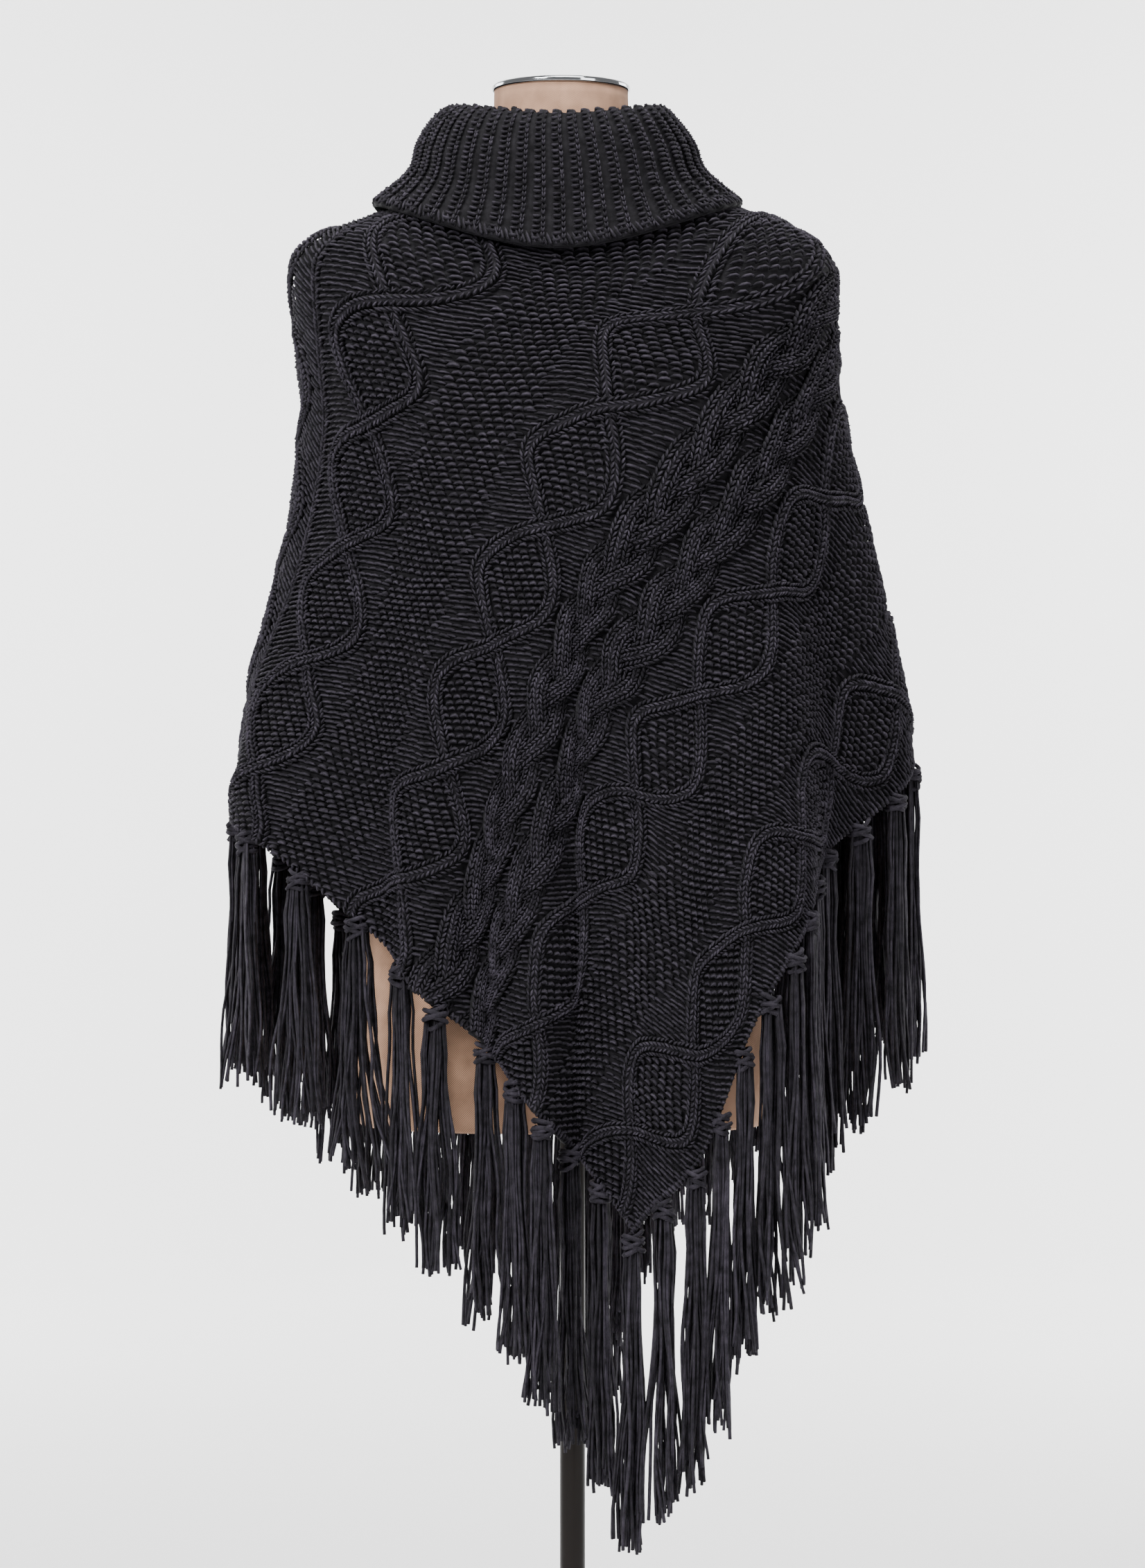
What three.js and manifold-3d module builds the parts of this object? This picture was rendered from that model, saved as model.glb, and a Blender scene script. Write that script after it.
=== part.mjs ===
import * as THREE from "three";
import Module from "manifold-3d";

// Cable-knit poncho sweater with a rolled collar and a tasselled hem, worn on a dress form on a pole.
// Millimetres, +Z up, front towards -Y, origin on the floor under the pole.

const wasm = await Module();
wasm.setup();

const RAD = Math.PI / 180;
const mix = (a, b, t) => a + (b - a) * t;
const clamp = (x, lo, hi) => Math.min(hi, Math.max(lo, x));
const smooth = (t) => t * t * (3 - 2 * t);
const ramp = (x, from, to) => smooth(clamp((x - from) / (to - from), 0, 1));

// sizes of the knitted rectangle
const CLOTH_W = 545;
const HALF_H = 665;
const NECK_R = 105;
const WALL = 4;
const CENTRE_X = -9;
const HEM_GAP = 0.4;

// cable pattern, across the knitted width
const DIAMONDS = [
  { centre: 50, crossing: 52 }, { centre: 190, crossing: 60 },
  { centre: 355, crossing: 52 }, { centre: 495, crossing: 52 },
];
const DIAMOND_PITCH = 98;
const FIRST_CROSSING = 52;
const DIAMOND_REACH = 31;
const CORNER_ROUND = 0.35;
const ROUND_SHARE = 0.45;
const STRAND_HALF = 6.5;
const CABLE_HEIGHT = 4.8;
const BRAID_PITCH = 49;
const ROWS_PER_DIAMOND = 5;

// worn shape: outward reach and height of each level, from neck edge to tail
const LEVELS = [
  { name: "neck", left: 86, right: 86, front: 80, back: 78,
    sideZ: 1412, frontZ: 1390, backZ: 1424 },
  { name: "yoke", left: 146, right: 146, front: 106, back: 97,
    sideZ: 1394, frontZ: 1350, backZ: 1380 },
  { name: "crest", left: 192, right: 194, front: 122, back: 104,
    sideZ: 1374, frontZ: 1315, backZ: 1345 },
  { name: "shoulder", left: 209, right: 213, front: 137, back: 111,
    sideZ: 1350, frontZ: 1272, backZ: 1300 },
  { name: "arm", left: 204, right: 214, front: 147, back: 115,
    sideZ: 1280, frontZ: 1220, backZ: 1230 },
  { name: "chest", left: 199, right: 220, front: 152, back: 118,
    sideZ: 1225, frontZ: 1160, backZ: 1170 },
  { name: "waist", left: 214, right: 240, front: 158, back: 130,
    sideZ: 1125, frontZ: 1040, backZ: 1050 },
  { name: "lower", left: 246, right: 268, front: 164, back: 148,
    sideZ: 985, frontZ: 860, backZ: 870 },
  { name: "tail", left: 275, right: 300, front: 172, back: 168,
    sideZ: 700, frontZ: 560, backZ: 600 },
];
const LEVEL_POWER = 2.3;

// turn about the neck corner of the flat cloth against azimuth round the body, and stretch down it
const TURNS = [
  { turn: 0, top: -80, middle: -68, hem: -95, pull: 1.045, hemPull: 1.045, rise: 0, swing: 0 },
  { turn: 10, top: -61, middle: -50, hem: -62, pull: 1.04, hemPull: 1.035, rise: 0, swing: 0 },
  { turn: 20, top: -41, middle: -31, hem: -33, pull: 1.03, hemPull: 1.05, rise: 0, swing: 0 },
  { turn: 30, top: -20, middle: -8, hem: -7, pull: 1.02, hemPull: 1.06, rise: 6, swing: 0 },
  { turn: 39.3, top: 0, middle: 12, hem: 17, pull: 1.05, hemPull: 1.06, rise: 17, swing: -2 },
  { turn: 44, top: 11, middle: 23, hem: 30, pull: 1.08, hemPull: 1.11, rise: 20, swing: -3 },
  { turn: 50, top: 27, middle: 35, hem: 40, pull: 1.11, hemPull: 1.09, rise: 18, swing: -6 },
  { turn: 60, top: 46, middle: 52, hem: 55, pull: 1.14, hemPull: 1.13, rise: 10, swing: -8 },
  { turn: 70, top: 64, middle: 67, hem: 72, pull: 1.15, hemPull: 1.2, rise: 3, swing: -4 },
  { turn: 80, top: 83, middle: 82, hem: 87, pull: 1.1, hemPull: 1.2, rise: 0, swing: 0 },
  { turn: 90, top: 99, middle: 97, hem: 101, pull: 1.08, hemPull: 1.2, rise: 0, swing: 0 },
  { turn: 110, top: 124, middle: 124, hem: 122, pull: 1.1, hemPull: 1.18, rise: 0, swing: 0 },
  { turn: 120, top: 140, middle: 138, hem: 133, pull: 1.08, hemPull: 1.1, rise: 0, swing: 0 },
  { turn: 130, top: 157, middle: 155, hem: 150, pull: 1.05, hemPull: 1.06, rise: 0, swing: 0 },
  { turn: 140.7, top: 178, middle: 178, hem: 173, pull: 1.05, hemPull: 1.05, rise: 0, swing: 0 },
  { turn: 150, top: 200, middle: 217, hem: 195, pull: 1.03, hemPull: 1.04, rise: 0, swing: 0 },
  { turn: 160, top: 226, middle: 243, hem: 219, pull: 1.03, hemPull: 1.05, rise: 0, swing: 0 },
  { turn: 170, top: 253, middle: 268, hem: 243, pull: 1.04, hemPull: 1.05, rise: 0, swing: 0 },
  { turn: 180, top: 280, middle: 292, hem: 265, pull: 1.045, hemPull: 1.045, rise: 0, swing: 0 },
];
const MIDDLE_D = 260;
// how far below the neck edge the cloth rides up and swings to the left, and over what width
const RIDE = { riseAt: 150, riseWidth: 70, swingAt: 110, swingWidth: 45 };
const FOLD_START = 150;
const FOLD_FULL = 650;

// hanging folds: azimuth against outward reach at the hem
const FOLDS = [
  { azimuth: -110, out: -10 }, { azimuth: -80, out: 6 }, { azimuth: -62, out: -8 },
  { azimuth: -45, out: -16 }, { azimuth: -33, out: 8 }, { azimuth: -20, out: -14 },
  { azimuth: -6, out: 10 }, { azimuth: 5, out: -16 }, { azimuth: 17, out: 6 },
  { azimuth: 30, out: 14 }, { azimuth: 46, out: 30 }, { azimuth: 66, out: -28 },
  { azimuth: 84, out: 8 }, { azimuth: 100, out: -8 }, { azimuth: 130, out: 24 },
  { azimuth: 150, out: -18 }, { azimuth: 170, out: 20 }, { azimuth: 200, out: -18 },
  { azimuth: 225, out: 20 }, { azimuth: 250, out: -10 },
];

// value of one column of TURNS at a turn, on a cubic through the rows
function turnValue(turn, column) {
  const last = TURNS.length - 1;
  const slope = (i) => {
    if (i === 0) return (TURNS[1][column] - TURNS[0][column]) / (TURNS[1].turn - TURNS[0].turn);
    if (i === last) {
      return (TURNS[last][column] - TURNS[last - 1][column]) / (TURNS[last].turn - TURNS[last - 1].turn);
    }
    const a = TURNS[i].turn - TURNS[i - 1].turn;
    const b = TURNS[i + 1].turn - TURNS[i].turn;
    const before = (TURNS[i][column] - TURNS[i - 1][column]) / a;
    const after = (TURNS[i + 1][column] - TURNS[i][column]) / b;
    return (before * b + after * a) / (a + b);
  };
  let i = 0;
  while (i < last - 1 && turn > TURNS[i + 1].turn) i += 1;
  const span = TURNS[i + 1].turn - TURNS[i].turn;
  const t = (turn - TURNS[i].turn) / span;
  const t2 = t * t;
  const t3 = t2 * t;
  return (2 * t3 - 3 * t2 + 1) * TURNS[i][column] + (t3 - 2 * t2 + t) * span * slope(i)
    + (-2 * t3 + 3 * t2) * TURNS[i + 1][column] + (t3 - t2) * span * slope(i + 1);
}

// outward reach of the folds at an azimuth, half cosine waves between the rows
function foldReach(azimuth) {
  const a = ((((azimuth + 110) % 360) + 360) % 360) - 110;
  for (let i = 0; i < FOLDS.length; i += 1) {
    const from = FOLDS[i];
    const to = i + 1 < FOLDS.length ? FOLDS[i + 1] : { azimuth: 250, out: FOLDS[0].out };
    if (a >= from.azimuth && a <= to.azimuth && to.azimuth > from.azimuth) {
      const t = (a - from.azimuth) / (to.azimuth - from.azimuth);
      return mix(from.out, to.out, (1 - Math.cos(Math.PI * t)) / 2);
    }
  }
  return FOLDS[0].out;
}

// reach at an azimuth of a rounded plan with its own left, right, front and back
function planReach(azimuth, left, right, front, back, power) {
  const s = Math.sin(azimuth * RAD);
  const c = Math.cos(azimuth * RAD);
  const side = s < 0 ? left : right;
  const deep = c > 0 ? front : back;
  return (Math.abs(s / side) ** power + Math.abs(c / deep) ** power) ** (-1 / power);
}

function planHeight(azimuth, sideZ, frontZ, backZ) {
  const w = Math.sin(azimuth * RAD) ** 2;
  return mix(Math.cos(azimuth * RAD) > 0 ? frontZ : backZ, sideZ, w);
}

// point of the level curve at an azimuth, a given length below the neck edge
function profileAt(azimuth, length) {
  const pts = LEVELS.map((l) => [
    planReach(azimuth, l.left, l.right, l.front, l.back, LEVEL_POWER),
    planHeight(azimuth, l.sideZ, l.frontZ, l.backZ),
  ]);
  const n = pts.length;
  const steps = 10;
  const at = (j, t) => [0, 1].map((k) => {
    const p0 = pts[Math.max(j - 1, 0)][k];
    const p1 = pts[j][k];
    const p2 = pts[j + 1][k];
    const p3 = pts[Math.min(j + 2, n - 1)][k];
    return 0.5 * (2 * p1 + (p2 - p0) * t + (2 * p0 - 5 * p1 + 4 * p2 - p3) * t * t
      + (3 * p1 - p0 - 3 * p2 + p3) * t * t * t);
  });
  let before = at(0, 0);
  let run = 0;
  for (let j = 0; j < n - 1; j += 1) {
    for (let k = 1; k <= steps; k += 1) {
      const now = at(j, k / steps);
      const step = Math.hypot(now[0] - before[0], now[1] - before[1]);
      const lastStep = j === n - 2 && k === steps;
      if (run + step >= length || lastStep) {
        const t = (length - run) / step;
        return [mix(before[0], now[0], t), mix(before[1], now[1], t)];
      }
      run += step;
      before = now;
    }
  }
  return before;
}

function hemDistance(turn) {
  const s = Math.max(Math.abs(Math.sin(turn * RAD)), 1e-6);
  const c = Math.max(Math.abs(Math.cos(turn * RAD)), 1e-6);
  return Math.min(CLOTH_W / s, HALF_H / c) - NECK_R;
}

// worn position of a point of the flat cloth, by turn and distance from the neck corner
function wornPolar(turn, rho) {
  const d = Math.max(rho - NECK_R, 0);
  const hemD = hemDistance(turn);
  const top = turnValue(turn, "top");
  const middle = turnValue(turn, "middle");
  const hem = turnValue(turn, "hem");
  const azimuth = top * (d - MIDDLE_D) * (d - hemD) / (MIDDLE_D * hemD)
    + middle * d * (d - hemD) / (MIDDLE_D * (MIDDLE_D - hemD))
    + hem * d * (d - MIDDLE_D) / (hemD * (hemD - MIDDLE_D))
    + turnValue(turn, "swing") * Math.exp(-(((d - RIDE.swingAt) / RIDE.swingWidth) ** 2));
  const q = clamp((d - 180) / (hemD - 180), 0, 1.3);
  const pull = mix(turnValue(turn, "pull"), turnValue(turn, "hemPull"), q * q * (3 - 2 * q));
  const length = Math.max(
    d * pull - turnValue(turn, "rise") * Math.exp(-(((d - RIDE.riseAt) / RIDE.riseWidth) ** 2)), 0);
  let [r, z] = profileAt(azimuth, length);
  r += foldReach(azimuth) * clamp((length - FOLD_START) / (FOLD_FULL - FOLD_START), 0, 1.2) ** 1.5;
  if (rho < NECK_R) {
    r *= rho / NECK_R;
    z = mix(1408, z, rho / NECK_R);
  }
  return new THREE.Vector3(CENTRE_X + r * Math.sin(azimuth * RAD), -r * Math.cos(azimuth * RAD), z);
}

function polarOf(u, v) {
  return { turn: Math.atan2(Math.max(u, 0), HALF_H - v) / RAD, rho: Math.hypot(u, HALF_H - v) };
}

function normalPolar(turn, rho) {
  if (rho < 10) return new THREE.Vector3(0, 0, 1);
  const t0 = clamp(turn - 0.4, 0, 180);
  const t1 = clamp(turn + 0.4, 0, 180);
  const across = wornPolar(t1, rho).sub(wornPolar(t0, rho));
  const down = wornPolar(turn, rho + 2).sub(wornPolar(turn, rho - 2));
  return down.cross(across).normalize();
}

// base point of the outer face and its outward normal; the sewn side shares one normal
function clothFrame(u, v) {
  const { turn, rho } = polarOf(u, v);
  const point = wornPolar(turn, rho);
  let normal = normalPolar(turn, rho);
  if (u < 0.01) normal = normalPolar(0, rho).add(normalPolar(180, rho)).normalize();
  return { point, normal, d: rho - NECK_R };
}

// half width of a diamond at a row: part triangle with rounded corners, part half sine wave
function diamondReach(v, crossing) {
  const phase = (v - crossing) / DIAMOND_PITCH;
  const x = 2 * (phase - Math.floor(phase)) - 1;
  const wide = Math.hypot(1, CORNER_ROUND);
  const pointed = (wide - Math.hypot(x, CORNER_ROUND)) / (wide - CORNER_ROUND);
  const round = Math.cos(x * Math.PI / 2);
  return DIAMOND_REACH * mix(pointed, round, ROUND_SHARE);
}

// lines of the outer lattice at one row: place across the cloth and cable height
function patternLines(v) {
  const zig = Math.sin(2 * Math.PI * (v - FIRST_CROSSING) / BRAID_PITCH);
  const bob = Math.cos(2 * Math.PI * (v - FIRST_CROSSING) / BRAID_PITCH);
  const diamond = ({ centre: c, crossing }) => {
    const e = diamondReach(v, crossing);
    const open = ramp(e, 6, 15);
    const crest = Math.max(e, 6);
    const inner = Math.max(e - 6.5, 3);
    return [
      [c - crest - STRAND_HALF, 0], [c - crest, CABLE_HEIGHT], [c - inner, mix(5.2, 1.4, open)],
      [c, mix(5.8, 2.2, open)],
      [c + inner, mix(5.2, 1.4, open)], [c + crest, CABLE_HEIGHT], [c + crest + STRAND_HALF, 0],
    ];
  };
  return [
    [0, 4.4 + 0.8 * bob], [6.5, 3.8 - 0.8 * bob], [11.5, 0],
    ...diamond(DIAMONDS[0]),
    [92, 0], [120, 1.2], [148, 0],
    ...diamond(DIAMONDS[1]),
    [230, 0], [240 + 4 * zig, 4.6 + bob], [250 + 6 * zig, 2.6], [260 + 4 * zig, 4.6 - bob],
    [272, 0.2],
    [284 - 4 * zig, 4.6 - bob], [294 - 6 * zig, 2.6], [304 - 4 * zig, 4.6 + bob], [314, 0],
    ...diamond(DIAMONDS[2]),
    [397, 0], [425, 1.2], [453, 0],
    ...diamond(DIAMONDS[3]),
    [534, 0], [CLOTH_W, 1],
  ];
}
const INNER_LINES = [
  0, 40, 80, 120, 160, 200, 240, 280, 315, 345, 370, 395, 420, 445, 470, 495, 520, CLOTH_W,
];

function bodyRows() {
  const pitch = DIAMOND_PITCH / ROWS_PER_DIAMOND;
  const start = FIRST_CROSSING % pitch;
  const rows = [];
  for (let m = 0; start + m * pitch < 2 * HALF_H - 0.6 * pitch; m += 1) rows.push(start + m * pitch);
  const all = [0, ...rows, 2 * HALF_H];
  const middle = (all.length - 1) / 2;
  return all.map((v, j) => {
    const even = j === 0 || j === all.length - 1 ? v : HALF_H + (j - middle) * pitch;
    return { v, sewn: even };
  });
}

function rowPlace(row, u) {
  return mix(row.v, row.sewn, clamp(1 - u / 30, 0, 1));
}

function geometryOf(positions, faces) {
  const g = new THREE.BufferGeometry();
  g.setAttribute("position", new THREE.Float32BufferAttribute(positions.flat(), 3));
  g.setIndex(faces.flat());
  g.computeVertexNormals();
  return g;
}

// faces between two runs of points that share their ends' order
function zip(a, keyA, b, keyB, faces, flip) {
  let i = 0;
  let j = 0;
  while (i < a.length - 1 || j < b.length - 1) {
    const stepA = j === b.length - 1 || (i < a.length - 1 && keyA[i + 1] <= keyB[j + 1]);
    const face = stepA ? [a[i], a[i + 1], b[j]] : [a[i], b[j + 1], b[j]];
    faces.push(flip ? [face[0], face[2], face[1]] : face);
    if (stepA) i += 1;
    else j += 1;
  }
}

function toManifold(positions, faces) {
  return new wasm.Manifold(new wasm.Mesh({
    numProp: 3,
    vertProperties: new Float32Array(positions.flat()),
    triVerts: new Uint32Array(faces.flat()),
  }));
}

function solidOf(geometry) {
  return new wasm.Manifold(new wasm.Mesh({
    numProp: 3,
    vertProperties: new Float32Array(geometry.attributes.position.array),
    triVerts: new Uint32Array(geometry.index.array),
  }));
}

function fromManifold(solid) {
  const mesh = solid.getMesh();
  const g = new THREE.BufferGeometry();
  const out = new Float32Array(mesh.vertProperties.length / mesh.numProp * 3);
  for (let i = 0; i < out.length / 3; i += 1) {
    for (let k = 0; k < 3; k += 1) out[i * 3 + k] = mesh.vertProperties[i * mesh.numProp + k];
  }
  g.setAttribute("position", new THREE.Float32BufferAttribute(out, 3));
  g.setIndex(Array.from(mesh.triVerts));
  g.computeVertexNormals();
  return g;
}

// the sewn body: one rectangle folded over the right shoulder, its left edges joined
function bodyManifold() {
  const rows = bodyRows();
  const last = rows.length - 1;
  const positions = [];
  const faces = [];
  const build = (lines, lift) => {
    const ids = [];
    rows.forEach((row, j) => {
      const list = lines(row.v);
      ids.push(list.map(([u, height], i) => {
        if (i === 0 && j > last / 2) return ids[last - j][0];
        const f = clothFrame(u, rowPlace(row, u));
        const raised = lift(height) * (lift(1) > 0 ? ramp(f.d, 64, 76) : 1);
        const p = f.point.addScaledVector(f.normal, raised);
        positions.push([p.x, p.y, p.z]);
        return positions.length - 1;
      }));
    });
    return ids;
  };
  const outer = build(patternLines, (h) => h);
  const inner = build(() => INNER_LINES.map((u) => [u, 1]), () => -WALL);
  const skin = (ids, flip) => {
    for (let j = 0; j < last; j += 1) {
      for (let i = 0; i < ids[j].length - 1; i += 1) {
        const a = ids[j][i];
        const b = ids[j][i + 1];
        const c = ids[j + 1][i + 1];
        const d = ids[j + 1][i];
        [[a, b, c], [a, c, d]].forEach((f) => faces.push(flip ? [f[0], f[2], f[1]] : f));
      }
    }
  };
  skin(outer, false);
  skin(inner, true);
  const edge = (j) => [
    outer[j], patternLines(rows[j].v).map((p) => p[0]), inner[j], INNER_LINES,
  ];
  zip(...edge(0), faces, true);
  zip(...edge(last), faces, false);
  for (let j = 0; j < last; j += 1) {
    const a = outer[j][outer[j].length - 1];
    const b = outer[j + 1][outer[j + 1].length - 1];
    const c = inner[j + 1][inner[j + 1].length - 1];
    const d = inner[j][inner[j].length - 1];
    faces.push([a, c, b], [a, d, c]);
  }
  const body = toManifold(positions, faces);
  const ring = [];
  const sides = 64;
  for (let k = 0; k < sides; k += 1) ring.push(360 * k / sides);
  const neck = LEVELS[0];
  const plug = [];
  [1350, 1470].forEach((z) => ring.forEach((azimuth) => {
    const r = planReach(azimuth, neck.left, neck.right, neck.front, neck.back, LEVEL_POWER);
    plug.push([CENTRE_X + r * Math.sin(azimuth * RAD), -r * Math.cos(azimuth * RAD), z]);
  }));
  plug.push([CENTRE_X, 0, 1350], [CENTRE_X, 0, 1470]);
  const plugFaces = [];
  for (let k = 0; k < sides; k += 1) {
    const n = (k + 1) % sides;
    plugFaces.push([k, n, sides + n], [k, sides + n, sides + k], [2 * sides, n, k],
      [2 * sides + 1, sides + k, sides + n]);
  }
  return body.subtract(toManifold(plug, plugFaces));
}

// rolled collar: a ribbed band standing up from the neck edge and turned down outside
// side, front and back reach and height of each point of the section, the way its ribs rise,
// and its sideways shift
const COLLAR = [
  { name: "foot", side: [79, 1409], front: [73, 1387], back: [71, 1421], rib: [0, 0], shift: 0 },
  { name: "stand", side: [78, 1438], front: [71, 1425], back: [70, 1450], rib: [-1, 0], shift: 0 },
  { name: "lip", side: [81, 1467], front: [73, 1458], back: [72, 1478], rib: [-0.8, 0.6], shift: -2 },
  { name: "turn", side: [89, 1480], front: [80, 1467], back: [79, 1487], rib: [0, 1], shift: -5 },
  { name: "over", side: [100, 1467], front: [92, 1453], back: [88, 1470], rib: [0.8, 0.6], shift: -5 },
  { name: "fall", side: [112, 1449], front: [103, 1425], back: [96, 1450], rib: [0.85, 0.5], shift: -4 },
  { name: "low", side: [123, 1428], front: [113, 1392], back: [104, 1425], rib: [0.85, 0.5], shift: -3 },
  { name: "rim", side: [148, 1403], front: [124, 1356], back: [116, 1388], rib: [0.7, 0.7], shift: -3 },
  { name: "rim under", side: [145, 1398.5], front: [119, 1354.5], back: [111, 1386], rib: [0, 0], shift: -3 },
  { name: "under low", side: [117, 1423], front: [107, 1390], back: [98, 1422], rib: [0, 0], shift: -3 },
  { name: "bend", side: [86, 1463], front: [78.8, 1453], back: [76.8, 1473], rib: [0, 0], shift: -3.5 },
  { name: "foot back", side: [85.3, 1409], front: [79.3, 1387], back: [77.3, 1421], rib: [0, 0], shift: 0 },
];
const COLLAR_RIBS = 56;
const RIB_HEIGHT = 2.2;

function collarGeometry() {
  const positions = [];
  const faces = [];
  const around = COLLAR_RIBS * 2;
  const n = COLLAR.length;
  for (let k = 0; k < around; k += 1) {
    const azimuth = 360 * k / around;
    const high = k % 2 === 0 ? RIB_HEIGHT : 0;
    COLLAR.forEach((p) => {
      const r = planReach(azimuth, p.side[0], p.side[0], p.front[0], p.back[0], LEVEL_POWER)
        + p.rib[0] * high;
      const x = CENTRE_X + p.shift;
      const z = planHeight(azimuth, p.side[1], p.front[1], p.back[1]) + p.rib[1] * high;
      positions.push([x + r * Math.sin(azimuth * RAD), -r * Math.cos(azimuth * RAD), z]);
    });
  }
  for (let k = 0; k < around; k += 1) {
    const next = (k + 1) % around;
    for (let i = 0; i < n; i += 1) {
      const j = (i + 1) % n;
      const a = k * n + i;
      const b = next * n + i;
      const c = next * n + j;
      const d = k * n + j;
      faces.push([a, c, b], [a, d, c]);
    }
  }
  return geometryOf(positions, faces);
}

// tassels along the hem
const SHORT_TASSELS = 12;
const LONG_TASSELS = 28;
const TASSEL_HEAD = { width: 21, depth: 11, bulge: 10, drop: 24 };
const TASSEL_REACH = [
  { along: 0, length: 180 }, { along: 300, length: 196 }, { along: 545, length: 232 },
  { along: 900, length: 226 }, { along: 1210, length: 222 }, { along: 1875, length: 228 },
  { along: 2420, length: 182 },
];
const HEM = 2 * CLOTH_W + 2 * HALF_H;

// flat place on the hem, by length along it from the sewn side round the tips and back
function hemPlace(along) {
  const s = clamp(along, 0, HEM);
  if (s <= CLOTH_W) return [s, 0];
  if (s <= CLOTH_W + 2 * HALF_H) return [CLOTH_W, s - CLOTH_W];
  return [HEM - s, 2 * HALF_H];
}

function hemPoint(along) {
  const [u, v] = hemPlace(along);
  const f = clothFrame(u, v);
  return { point: f.point.addScaledVector(f.normal, -WALL / 2), normal: f.normal };
}

function tasselPlaces() {
  const places = [];
  const start = 22;
  const short = (CLOTH_W - start) / (SHORT_TASSELS - 1);
  for (let i = 0; i < SHORT_TASSELS; i += 1) places.push({ along: start + i * short, gap: short });
  const long = 2 * HALF_H / (LONG_TASSELS + 1);
  for (let i = 1; i <= LONG_TASSELS; i += 1) places.push({ along: CLOTH_W + i * long, gap: long });
  for (let i = SHORT_TASSELS - 1; i >= 0; i -= 1) places.push({ along: HEM - start - i * short, gap: short });
  return places;
}

function tasselLength(along) {
  for (let i = 0; i < TASSEL_REACH.length - 1; i += 1) {
    const a = TASSEL_REACH[i];
    const b = TASSEL_REACH[i + 1];
    if (along <= b.along) return mix(a.length, b.length, (along - a.along) / (b.along - a.along));
  }
  return TASSEL_REACH[TASSEL_REACH.length - 1].length;
}

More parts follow.
